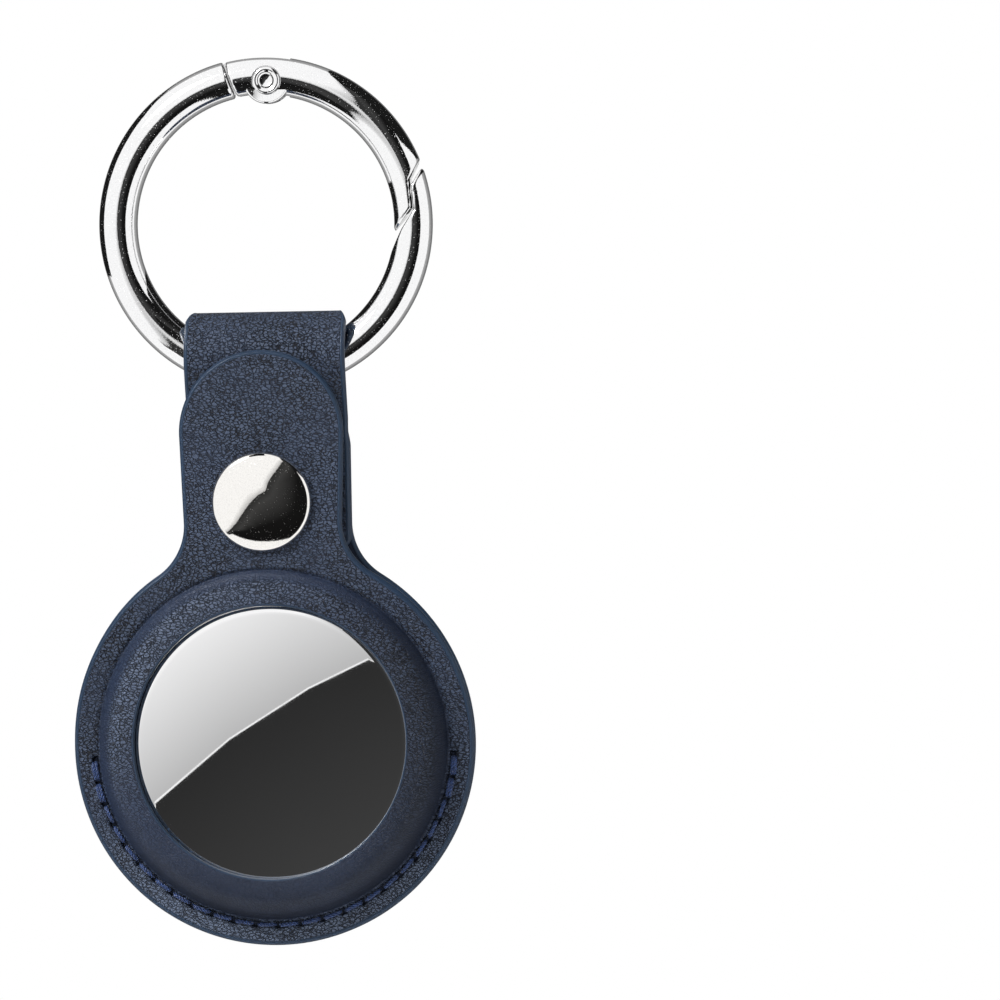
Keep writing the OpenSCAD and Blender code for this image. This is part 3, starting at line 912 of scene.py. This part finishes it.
def soften(piece, *lines):
    """The edges along the cut lines are rounded: the wire gets thinner just beside a cut."""
    mesh = piece.data
    points = np.empty(len(mesh.vertices) * 3)
    mesh.vertices.foreach_get("co", points)
    points = points.reshape(-1, 3) / MM
    turn = math.radians(RING_TURN)
    right, above, out = points[:, 0], points[:, 2] - RING_UP, -points[:, 1] - LOOP_D
    x = right * math.cos(turn) - above * math.sin(turn)
    up = above * math.cos(turn) + right * math.sin(turn)
    near = np.full(len(points), 9.0)
    for line_points in lines:
        for (x0, u0), (x1, u1) in zip(line_points[:-1], line_points[1:]):
            length2 = (x1 - x0) ** 2 + (u1 - u0) ** 2
            t = np.clip(((x - x0) * (x1 - x0) + (up - u0) * (u1 - u0)) / length2, 0, 1)
            near = np.minimum(near, np.hypot(x - x0 - t * (x1 - x0), up - u0 - t * (u1 - u0)))
    inside = np.clip(1 - near / SOFT_EDGE, 0, 1)
    drop = 0.8 * SOFT_EDGE * (1 - np.sqrt(1 - 0.98 * inside ** 2))
    radius = np.hypot(x, up)
    across = radius - RING_R
    size = np.maximum(np.hypot(across, out), 1e-6)
    share = 1 - np.where(size > 1.2, drop, 0) / size
    new_radius = RING_R + across * share
    moved = ring_space(x * new_radius / radius, up * new_radius / radius, out * share)
    mesh.vertices.foreach_set("co", (moved * MM).ravel())
    mesh.update()
    # The faces of the cut walls, which get painted shade in the material
    shaded_walls = [float(all(near[v] < 0.01 for v in face.vertices)) for face in mesh.polygons]
    mesh.attributes.new("cut", "FLOAT", "FACE").data.foreach_set("value", shaded_walls)


def cut_wire(name, heel, latch, operation):
    """The wire with the gate's part cut out of it, or only that part, with softened cut edges."""
    piece = torus(name)
    outline = heel_line(heel) + [(20, 22)] + latch + [(0, 6)]
    combine(piece, prism("wedge", outline, -4, 4), operation)
    soften(piece, heel_line(heel), latch)
    return piece


ring = cut_wire("spring_ring", HEEL_D + HEEL_GAP, BODY_LATCH, "DIFFERENCE")
TONGUE_HALF = 0.6
tongue_arc = np.concatenate([arc((0, 0), RING_R + 1.7, 112, 91, 16), arc((0, PIVOT_UP), 2.1, 66, -66, 28),
                             arc((0, 0), RING_R - 1.45, 92, 112, 16), [(-4.85, 12.0)]])
combine(ring, prism("tongue", tongue_arc, -TONGUE_HALF, TONGUE_HALF), "UNION")
smooth_by_angle(ring)

gate = cut_wire("spring_gate", HEEL_D, GATE_LATCH, "INTERSECT")


def knuckle_disc(name, radius, low, high, steps):
    return prism(name, arc((0, PIVOT_UP), radius, 0, 360, steps), low, high)


def knuckle(steps=120):
    """The round boss of the gate, which stays inside the outline of the wire on top."""
    half = [(1.45, 1.39), (2.08, 1.47), (2.2, 1.37), (KNUCKLE_R - 0.06, 1.15)]
    levels = half + [(r, -out) for r, out in half[::-1]]
    rows = []
    for r, out in levels:
        row = arc((0, PIVOT_UP), r, 0, 360, steps)
        size = np.hypot(row[:, 0], row[:, 1])
        limit = RING_R + math.sqrt(WIRE_R ** 2 - out ** 2) - 0.02
        row *= np.minimum(1, limit / size)[:, None]
        rows.append(ring_space(*row.T, np.full(steps, out)))
    return outward(mesh_piece("knuckle", np.concatenate(rows), tube_faces(len(rows), steps)))


KNUCKLE_SLOT = 0.65
SEAT = 1.55
combine(gate, knuckle(), "UNION")
slot_outline = [(-9.8, 9), (2.2, 9), (2.2, 19), (-9.8, 19)]
combine(gate, prism("slot", slot_outline, -KNUCKLE_SLOT, KNUCKLE_SLOT), "DIFFERENCE")
for low, high in ((SEAT, 3.5), (-3.5, -SEAT)):
    combine(gate, knuckle_disc("seat", HEAD_R + 0.08, low, high, 72), "DIFFERENCE")
combine(gate, knuckle_disc("pin_hole", 0.65, -3, 3, 40), "DIFFERENCE")
smooth_by_angle(gate)

HEAD = [(0.0, 0.17), (0.3, 0.2), (0.5, 0.26), (0.6, 0.32), (0.7, 0.3), (0.78, 0.27), (0.86, 0.3),
        (0.96, 0.38), (1.06, 0.43), (1.18, 0.42), (1.28, 0.35), (1.34, 0.22), (1.35, 0.1), (1.35, 0.0)]
pin_front = [(r, h + SEAT + 0.05) for r, h in HEAD]
pin_profile = pin_front + [(0.6, SEAT + 0.05), (0.6, -SEAT - 0.05)] + [(r, -h) for r, h in pin_front[::-1]]
pin = lathe("gate_hinge_pin", pin_profile, 0, 0, steps=96)
pin.data.transform(Matrix.Translation(Vector(ring_space(0, PIVOT_UP, 0)) * MM))


# Materials

class Nodes:
    """A node tree, with short calls that add to it."""

    def __init__(self, data):
        self.data = data
        self.data.use_nodes = True
        self.tree = self.data.node_tree

    def node(self, kind, inputs=None, **settings):
        node = self.tree.nodes.new(kind)
        for key, value in settings.items():
            setattr(node, key, value)
        for key, value in (inputs or {}).items():
            self.put(node.inputs[key], value)
        return node

    def put(self, socket, value):
        if isinstance(value, bpy.types.NodeSocket):
            self.tree.links.new(value, socket)
        else:
            socket.default_value = value

    def math(self, operation, a, b=0.0, clamp=False):
        return self.node("ShaderNodeMath", {0: a, 1: b}, operation=operation, use_clamp=clamp).outputs[0]

    def plus(self, a, b):
        return self.math("ADD", a, b)

    def minus(self, a, b):
        return self.math("SUBTRACT", a, b)

    def times(self, a, b):
        return self.math("MULTIPLY", a, b)

    def attribute(self, name, output="Fac"):
        return self.node("ShaderNodeAttribute", attribute_name=name).outputs[output]

    def vector(self, operation, a, b=(0, 0, 0)):
        node = self.node("ShaderNodeVectorMath", {0: a, 1: b}, operation=operation)
        return node.outputs["Value"] if operation in ("LENGTH", "DOT_PRODUCT") else node.outputs[0]

    def noise(self, vector, scale, detail=2.0, roughness=0.5, colour=False):
        node = self.node("ShaderNodeTexNoise", {"Vector": vector, "Scale": scale, "Detail": detail,
                                                "Roughness": roughness})
        return node.outputs["Color" if colour else "Fac"]

    def ramp(self, value, low, high, start=0.0, end=1.0):
        node = self.node("ShaderNodeMapRange", {0: value, 1: low, 2: high, 3: start, 4: end},
                         interpolation_type="SMOOTHSTEP")
        return node.outputs[0]

    def mix(self, factor, a, b):
        node = self.node("ShaderNodeMix", data_type="RGBA")
        self.put(node.inputs[0], factor)
        self.put(node.inputs[6], a)
        self.put(node.inputs[7], b)
        return node.outputs[2]

    def bump(self, height, distance, normal=None):
        inputs = {"Height": height, "Distance": distance, "Strength": 1.0}
        if normal is not None:
            inputs["Normal"] = normal
        return self.node("ShaderNodeBump", inputs).outputs[0]

    def object_mm(self):
        """Object coordinates in millimetres."""
        place = self.node("ShaderNodeTexCoord").outputs["Object"]
        return self.vector("MULTIPLY", place, (1000, 1000, 1000))


class Material(Nodes):
    """A node material with one Principled shader."""

    def __init__(self, name, **values):
        super().__init__(bpy.data.materials.new(name))
        self.out(**values)

    def out(self, **values):
        shader = self.tree.nodes["Principled BSDF"]
        for key, value in values.items():
            self.put(shader.inputs[key.replace("_", " ")], value)
        return self.data


# Dye colours, with colours for painted shade, painted light and painted highlight
NAVY = (0.011, 0.022, 0.056, 1)
NAVY_WORN = (0.0165, 0.0295, 0.069, 1)
NAVY_PAINTED_SHADE = (0.002, 0.004, 0.01, 1)
NAVY_RIM_PAINTED_LIGHT = (0.052, 0.072, 0.115, 1)
NAVY_CREST_HIGHLIGHT = (0.042, 0.06, 0.102, 1)
NAVY_CREASE_SHADE = (0.002, 0.003, 0.008, 1)
NAVY_SPECK = (0.004, 0.006, 0.014, 1)
NAVY_LIT = (0.13, 0.165, 0.24, 1)
EDGE_PAINT = (0.015, 0.032, 0.064, 1)
HOLE_SHADE = (0.001, 0.001, 0.002, 1)
CELLS_PER_MM = 3.2
CELL_STRETCH = (0.74, 1.24, 1)
GRAIN_DEPTH = 0.15


def leather(name, plateau, groove):
    """Navy full grain leather. plateau and groove are the radii between which it is moulded smooth."""
    m = Material(name)
    flat = m.attribute("flat", "Vector")
    painted = m.attribute("painted")
    across, up, _ = m.node("ShaderNodeSeparateXYZ", {0: flat}).outputs
    radius = m.vector("LENGTH", m.vector("MULTIPLY", flat, (1, 1, 0)))
    fine = m.noise(flat, 9.0, 3, 0.6)

    # Flat-topped cells with thin creases between them, a little wider than high
    bend = m.vector("SUBTRACT", m.noise(flat, 1.7, 2, colour=True), (0.5, 0.5, 0.5))
    bend = m.vector("MULTIPLY", bend, (0.5, 0.5, 0.5))
    warped = m.vector("MULTIPLY", m.vector("ADD", flat, bend), CELL_STRETCH)
    cells = {"Vector": warped, "Scale": CELLS_PER_MM, "Randomness": 1.0}
    to_edge = m.node("ShaderNodeTexVoronoi", cells, feature="DISTANCE_TO_EDGE").outputs["Distance"]
    pebble = m.ramp(to_edge, 0.01, 0.17)
    tint = m.node("ShaderNodeTexVoronoi", cells, feature="F1").outputs["Color"]
    tone = m.node("ShaderNodeSeparateColor", {0: tint}).outputs[0]

    # The grain is weaker where the leather is pressed round the tag, and on the painted edges
    dome = m.ramp(radius, groove - 0.1, groove + 0.2, 1.0, 0.0)
    pressed = m.times(m.ramp(radius, plateau - 0.35, plateau + 0.45),
                      m.ramp(radius, groove - 0.1, groove + 0.25, 1.0, 0.0))
    stretched = m.times(dome, m.ramp(up, -13.0, 5.0, 0.85, 0.0))
    grain = m.minus(1.0, m.times(pressed, 0.8))
    grain = m.times(grain, m.minus(1.0, m.times(painted, 0.94)))
    grain = m.times(grain, m.ramp(m.noise(flat, 0.16, 2), 0.3, 0.7, 0.75, 1.1))
    grain = m.times(grain, m.minus(1.0, stretched))
    height = m.times(m.plus(pebble, m.times(tone, 0.5)), grain)
    height = m.plus(height, m.times(fine, m.plus(0.12, m.times(grain, 0.3))))

    # Colour: the dye, then painted shade on the smooth flank and on the right of the dome, painted light on
    # the rim, a painted highlight on the crests, painted shade in the creases, fine specks, painted light
    # towards the upper left, the painted edge, and painted shade in the stitch holes
    low = m.ramp(up, -17.0, -5.0, 1.0, 0.0)
    # right: the right of the dome, where shade is painted as if lit from the left
    right = m.times(m.ramp(across, 5.0, 15.0), dome)
    # beside: the rim outside the groove, where light is painted
    beside = m.ramp(radius, groove - 0.1, groove + 0.5)
    colour = m.mix(m.ramp(m.noise(flat, 0.35, 3), 0.3, 0.7), NAVY, NAVY_WORN)
    # Painted shade: the smooth moulded flank is darker, more so towards the bottom
    smooth = m.math("MAXIMUM", pressed, stretched)
    colour = m.mix(m.times(smooth, m.plus(0.33, m.times(low, 0.45))), colour, NAVY_PAINTED_SHADE)
    # Painted shade on the right of the dome
    colour = m.mix(m.times(right, 0.45), colour, NAVY_PAINTED_SHADE)
    # Painted light on the rim, more so towards the bottom
    colour = m.mix(m.times(beside, m.plus(0.22, m.times(low, 0.75))), colour, NAVY_RIM_PAINTED_LIGHT)
    # Painted highlight on the crests of the pebbles
    crest_highlight = m.times(pebble, m.plus(0.66, m.times(tone, 0.34)))
    colour = m.mix(m.times(crest_highlight, grain), colour, NAVY_CREST_HIGHLIGHT)
    # Painted shade in the creases between the pebbles
    crease = m.math("MULTIPLY", m.minus(1.0, pebble), grain, clamp=True)
    colour = m.mix(crease, colour, NAVY_CREASE_SHADE)
    colour = m.mix(m.ramp(fine, 0.3, 0.42, 0.5, 0.0), colour, NAVY_SPECK)
    # More painted shade on the right of the dome
    colour = m.mix(m.times(right, 0.35), colour, NAVY_PAINTED_SHADE)
    # Painted light on the plateau towards the upper left, and on the rim
    painted_light = m.times(m.ramp(m.minus(up, across), 4.0, 22.0),
                   m.ramp(radius, plateau - 0.5, plateau + 0.2, 0.34, 0.06))
    painted_light = m.plus(m.times(beside, m.plus(0.08, m.times(low, 0.45))), m.times(painted_light, dome))
    colour = m.mix(m.times(painted_light, m.plus(0.15, m.times(pebble, 0.85))), colour, NAVY_LIT)
    colour = m.mix(painted, colour, EDGE_PAINT)
    # Painted shade in the stitch holes and along the seam
    colour = m.mix(m.attribute("hole"), colour, HOLE_SHADE)
    roughness = m.plus(m.times(fine, 0.16), m.minus(0.42, m.times(painted, 0.1)))
    return m.out(Base_Color=colour, Roughness=roughness, Normal=m.bump(height, GRAIN_DEPTH * MM),
                 Specular_IOR_Level=0.33)


def lining_material():
    m = Material("lining_leather", Roughness=0.8, Specular_IOR_Level=0.25)
    nap = m.noise(m.attribute("flat", "Vector"), 14.0, 4, 0.65)
    colour = m.mix(m.ramp(nap, 0.3, 0.7), (0.008, 0.012, 0.026, 1), (0.022, 0.031, 0.055, 1))
    return m.out(Base_Color=colour, Normal=m.bump(nap, 0.06 * MM))


def thread_material():
    m = Material("waxed_thread", Roughness=0.45, Sheen_Weight=0.25, Sheen_Roughness=0.4)
    fibre = m.noise(m.object_mm(), 11.0, 3, 0.6)
    colour = m.mix(m.ramp(fibre, 0.3, 0.7), (0.004, 0.01, 0.036, 1), (0.022, 0.06, 0.2, 1))
    return m.out(Base_Color=colour, Normal=m.bump(fibre, 0.03 * MM))


def polished(name, colour, roughness, smudges, grain=0.0004, pitch=22.0, specks=0.0, edge_radius=0.0,
             mottle=0.07):
    """Polished metal. grain and pitch are the depth and the number per millimetre of its fine waves."""
    m = Material(name, Metallic=1.0)
    place = m.object_mm()
    smudge = m.ramp(m.noise(place, 0.35, 3), 0.35, 0.75, 0.0, smudges)
    fine = m.noise(place, pitch, 2)
    dark = tuple(c * (1 - mottle) for c in colour[:3]) + (1,)
    tint = m.mix(m.ramp(fine, 0.4, 0.7), colour, dark)
    # Painted shade on the walls of the cuts, for the dark gaps at the heel and the latch
    tint = m.mix(m.attribute("cut"), tint, (0.05, 0.05, 0.05, 1))
    soft = None
    if edge_radius:
        soft = m.node("ShaderNodeBevel", {"Radius": edge_radius * MM}, samples=6).outputs[0]
    rough = m.plus(roughness, smudge)
    if specks:
        rough = m.plus(rough, m.ramp(m.noise(place, 8.5, 1), 0.68, 0.76, 0.0, specks))
    return m.out(Base_Color=tint, Roughness=rough, Normal=m.bump(fine, grain * MM, soft))


def moulded(name, colour, roughness=0.35):
    """Moulded plastic or rubber with a faint texture."""
    m = Material(name)
    place = m.object_mm()
    cloud = m.ramp(m.noise(place, 0.5, 3), 0.3, 0.7)
    dark = tuple(c * 0.94 for c in colour[:3]) + (1,)
    return m.out(Base_Color=m.mix(cloud, colour, dark), Normal=m.bump(m.noise(place, 6.0, 2), 0.02 * MM),
                 Roughness=m.plus(roughness, m.times(cloud, 0.05)))


navy_front = leather("front_navy_leather", plateau=16.0, groove=17.0)
navy_back = leather("back_navy_leather", plateau=14.2, groove=16.9)
lining = lining_material()
waxed = thread_material()
chrome = polished("ring_polish", (0.95, 0.95, 0.955, 1), 0.02, 0.03, grain=0.0014, pitch=8.0, specks=0.6,
                  edge_radius=0.05)
nickel = polished("snap_polish", (0.95, 0.93, 0.9, 1), 0.03, 0.03, grain=0.0006, pitch=9.0, specks=0.3)
steel = polished("cover_polish", (0.93, 0.93, 0.935, 1), 0.01, 0.005, grain=0.0, mottle=0.01)
wire = polished("spring_wire", (0.75, 0.75, 0.77, 1), 0.2, 0.1)
brass = polished("contact_brass", (0.85, 0.65, 0.32, 1), 0.22, 0.1)
cell = polished("cell_steel", (0.72, 0.72, 0.73, 1), 0.25, 0.1)
iron = polished("magnet_iron", (0.5, 0.5, 0.52, 1), 0.35, 0.15)
copper = polished("coil_copper", (0.8, 0.42, 0.24, 1), 0.3, 0.1)
white = moulded("tag_white", (0.86, 0.86, 0.86, 1), 0.22)
tray = moulded("tray_plastic", (0.7, 0.71, 0.73, 1), 0.4)
rubber = moulded("seal_rubber", (0.03, 0.03, 0.03, 1), 0.6)
board = moulded("board_laminate", (0.03, 0.16, 0.07, 1), 0.35)


def paint(piece, material):
    piece.data.materials.clear()
    piece.data.materials.append(material)


# What moves with what. The front leather, shaped bent from the holder to the flap, takes the place of both
# and rides on neither.
for piece, body, nodes, finish, material in (
        (thread, "holder", ["seam_thread"], "thread", waxed),
        (back_leather, "holder", ["back_panel"], "outer_leather", navy_back),
        (back_inner, "holder", ["back_lining"], "lining_leather", lining),
        (back_dome, "holder", ["back_cap"], "snap_nickel", nickel),
        (stud, "holder", ["snap_stud"], "snap_nickel", nickel),
        (front_dome, "flap", ["front_cap"], "snap_nickel", nickel),
        (socket, "flap", ["snap_socket"], "snap_nickel", nickel),
        (ring, "ring", ["ring_body"], "ring_chrome", chrome),
        (pin, "ring", ["gate_pin"], "ring_chrome", chrome),
        (gate, "gate", ["gate"], "ring_chrome", chrome),
        (shell, "tag", ["tag_shell"], "tag_white", white),
        (cover, "cover", ["tag_cover"], "tag_steel", steel),
        (front_leather, None, ["front_panel", "front_flap"], "outer_leather", navy_front),
        (front_inner, None, ["front_lining", "flap_lining"], "lining_leather", lining)):
    if body:
        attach(piece, body)
    else:
        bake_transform(piece)
    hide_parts(*nodes)
    paint(piece, material)

# The finish of the inner nodes, which stay as they are in the frame
for node, material in (("socket_spring", wire), ("gate_spring", wire), ("cover_seal", rubber),
                       ("battery_tray", tray), ("coin_cell", cell), ("battery_contacts", brass),
                       ("circuit_board", board), ("antenna_frame", tray), ("speaker_magnet", iron),
                       ("voice_coil", copper)):
    for place in frame["nodes"][node].material_slots:
        place.material = material


# Light

LIGHT_FROM = (-0.5, -0.35, 0.79)


def world_light(low, high):
    """White all round where it is seen or reflected, and softer on the leather, with less from below."""
    w = Nodes(bpy.data.worlds.new("studio"))
    bpy.context.scene.world = w.data
    w.tree.nodes.clear()
    rays = w.node("ShaderNodeLightPath").outputs
    both = w.math("ADD", rays["Is Glossy Ray"], rays["Is Transmission Ray"], clamp=True)
    seen = w.math("ADD", rays["Is Camera Ray"], both, clamp=True)
    toward = w.vector("DOT_PRODUCT", w.node("ShaderNodeTexCoord").outputs["Generated"], LIGHT_FROM)
    spread = w.node("ShaderNodeMapRange", {0: toward, 1: -1.0, 3: low, 4: high}).outputs[0]
    strength = w.node("ShaderNodeMapRange", {0: seen, 3: spread, 4: 1.0}).outputs[0]
    background = w.node("ShaderNodeBackground", {0: (1, 1, 1, 1), 1: strength})
    w.node("ShaderNodeOutputWorld", {0: background.outputs[0]})


def lamp(name, place, size, power, reflected=True):
    """A square lamp that looks at the object."""
    data = bpy.data.lights.new(name, "AREA")
    data.shape = "RECTANGLE"
    data.size = size * MM
    data.size_y = size * MM
    data.energy = power
    thing = bpy.data.objects.new(name, data)
    thing.visible_glossy = reflected
    bpy.context.scene.collection.objects.link(thing)
    thing.location = Vector(place) * MM
    look = LAMP_TARGET * MM - thing.location
    thing.rotation_euler = look.to_track_quat("-Z", "Y").to_euler()


def card(name, rows, shades):
    """A card that only reflections see: rows of points, each row with its own shade."""
    size = len(rows[0])
    faces = ring_faces(*index_rows(len(rows), size), closed=False)
    piece = mesh_piece(name, [p for row in rows for p in row], faces, smooth=False)
    point_values(piece, "shade", np.repeat(shades, size))
    paper = Nodes(bpy.data.materials.new(name + "_paper"))
    paper.tree.nodes.clear()
    glow = paper.node("ShaderNodeEmission", {"Strength": paper.attribute("shade")})
    paper.node("ShaderNodeOutputMaterial", {0: glow.outputs[0]})
    paint(piece, paper.data)
    piece.visible_camera = False
    piece.visible_diffuse = False
    piece.visible_shadow = False


def floor(up, radius):
    """A round pale floor, which the metal doesn't mirror."""
    points = np.append(arc((0, 0), radius, 0, 360, 48), np.full((48, 1), up), axis=1)
    piece = mesh_piece("studio_floor", points, [tuple(range(48))], smooth=False)
    pale = Material("pale_floor", Base_Color=(0.9, 0.9, 0.9, 1), Roughness=0.9, Specular_IOR_Level=0.1)
    paint(piece, pale.data)
    piece.visible_glossy = False


# The dark card in front of the object, as directions seen from it: to the right and up for each
# unit forward. It has a sharp edge, an inner row, a far end, and a row where the grey beside it fades.
CARD_EDGE = [(-1.3, -1.15), (-0.9, -0.84), (-0.66, -0.61), (-0.5, -0.42), (-0.35, -0.235), (-0.235, -0.11),
             (-0.14, -0.033), (-0.081, 0.003), (-0.027, 0.028), (-0.008, 0.04), (0.005, 0.09), (0.03, 0.18),
             (0.1, 0.29), (0.25, 0.5), (0.48, 0.9), (1.2, 2.8)]
CARD_INNER = [(-1.25, -1.15), (-0.85, -0.91), (-0.58, -0.73), (-0.42, -0.55), (-0.28, -0.36), (-0.15, -0.22),
              (-0.07, -0.145), (-0.01, -0.11), (0.05, -0.08), (0.1, -0.03), (0.13, 0.04), (0.16, 0.13),
              (0.22, 0.23), (0.35, 0.42), (0.58, 0.83), (1.3, 2.7)]
CARD_END = [(-1.28, -1.2), (-0.88, -0.97), (-0.55, -1.05), (-0.3, -1.08), (0.0, -1.08), (0.2, -1.08),
            (0.5, -1.05), (0.8, -0.92), (1.0, -0.75), (1.05, -0.55), (1.1, -0.3), (1.12, 0.0), (1.06, 0.4),
            (1.3, 0.85), (1.8, 1.4), (2.6, 2.2)]
CARD_FADE = [(-1.35, -1.1), (-0.95, -0.78), (-0.72, -0.54), (-0.58, -0.35), (-0.43, -0.14), (-0.31, 0.0),
             (-0.195, 0.045), (-0.135, 0.085), (-0.1, 0.105), (-0.085, 0.12), (-0.07, 0.14), (-0.045, 0.21),
             (0.02, 0.34), (0.17, 0.56), (0.4, 0.96), (1.1, 2.9)]
CARD_FAR = 2500
AROUND = Vector((0, -5, 25))
LAMP_TARGET = Vector((0, -5, 20))


def ahead(rows, share=1.0, other=None):
    """Points far away in the directions of a row, or part of the way to another row."""
    other = rows if other is None else other
    points = []
    for (x0, z0), (x1, z1) in zip(rows, other):
        direction = Vector((x0 + (x1 - x0) * share, -1, z0 + (z1 - z0) * share)).normalized()
        points.append(AROUND + direction * CARD_FAR)
    return points


def patch(reach, first, last, far=CARD_FAR):
    """A row of points far away, at an angle from the front and round it from one side to another."""
    out, ahead_share = math.sin(math.radians(reach)), math.cos(math.radians(reach))
    points = []
    for turn in np.radians(np.linspace(first, last, 16)):
        points.append(AROUND + Vector((out * math.cos(turn), -ahead_share, out * math.sin(turn))) * far)
    return points


BLACK_CARD = 0.01
BACK_FAR = 2800
card("dark_card", [ahead(CARD_EDGE), ahead(CARD_INNER), ahead(CARD_EDGE, 0.5, CARD_END), ahead(CARD_END)],
     [0.026, 0.05, 0.008, 0.006])
card("grey_card", [ahead(CARD_EDGE, 0.012, CARD_FADE), ahead(CARD_FADE)], [0.52, 1.0])
card("dark_side", [patch(68, 34, 66), patch(90, 30, 70), patch(115, 26, 73), patch(145, 24, 76)],
     [BLACK_CARD] * 4)
card("dark_left", [patch(90, 150, 186), patch(98, 140, 195), patch(120, 132, 194), patch(150, 128, 192)],
     [BLACK_CARD] * 4)
card("grey_back", [patch(reach, 0, 360, BACK_FAR) for reach in (112, 150, 172)], [0.45, 0.16, 0.16])
card("dark_low", [[(0, -6.5, 45), (-3, -8, 45), (-8, -15, 45)],
                  [(0.5, -25, 45), (-3, -26, 45), (-8, -28, 45)]], [BLACK_CARD] * 2)
world_light(low=0.1, high=0.95)
floor(up=-75, radius=290)
lamp("key", (-260, -330, 360), size=160, power=2.6)
lamp("fill", (300, -420, 60), size=260, power=0.3, reflected=False)
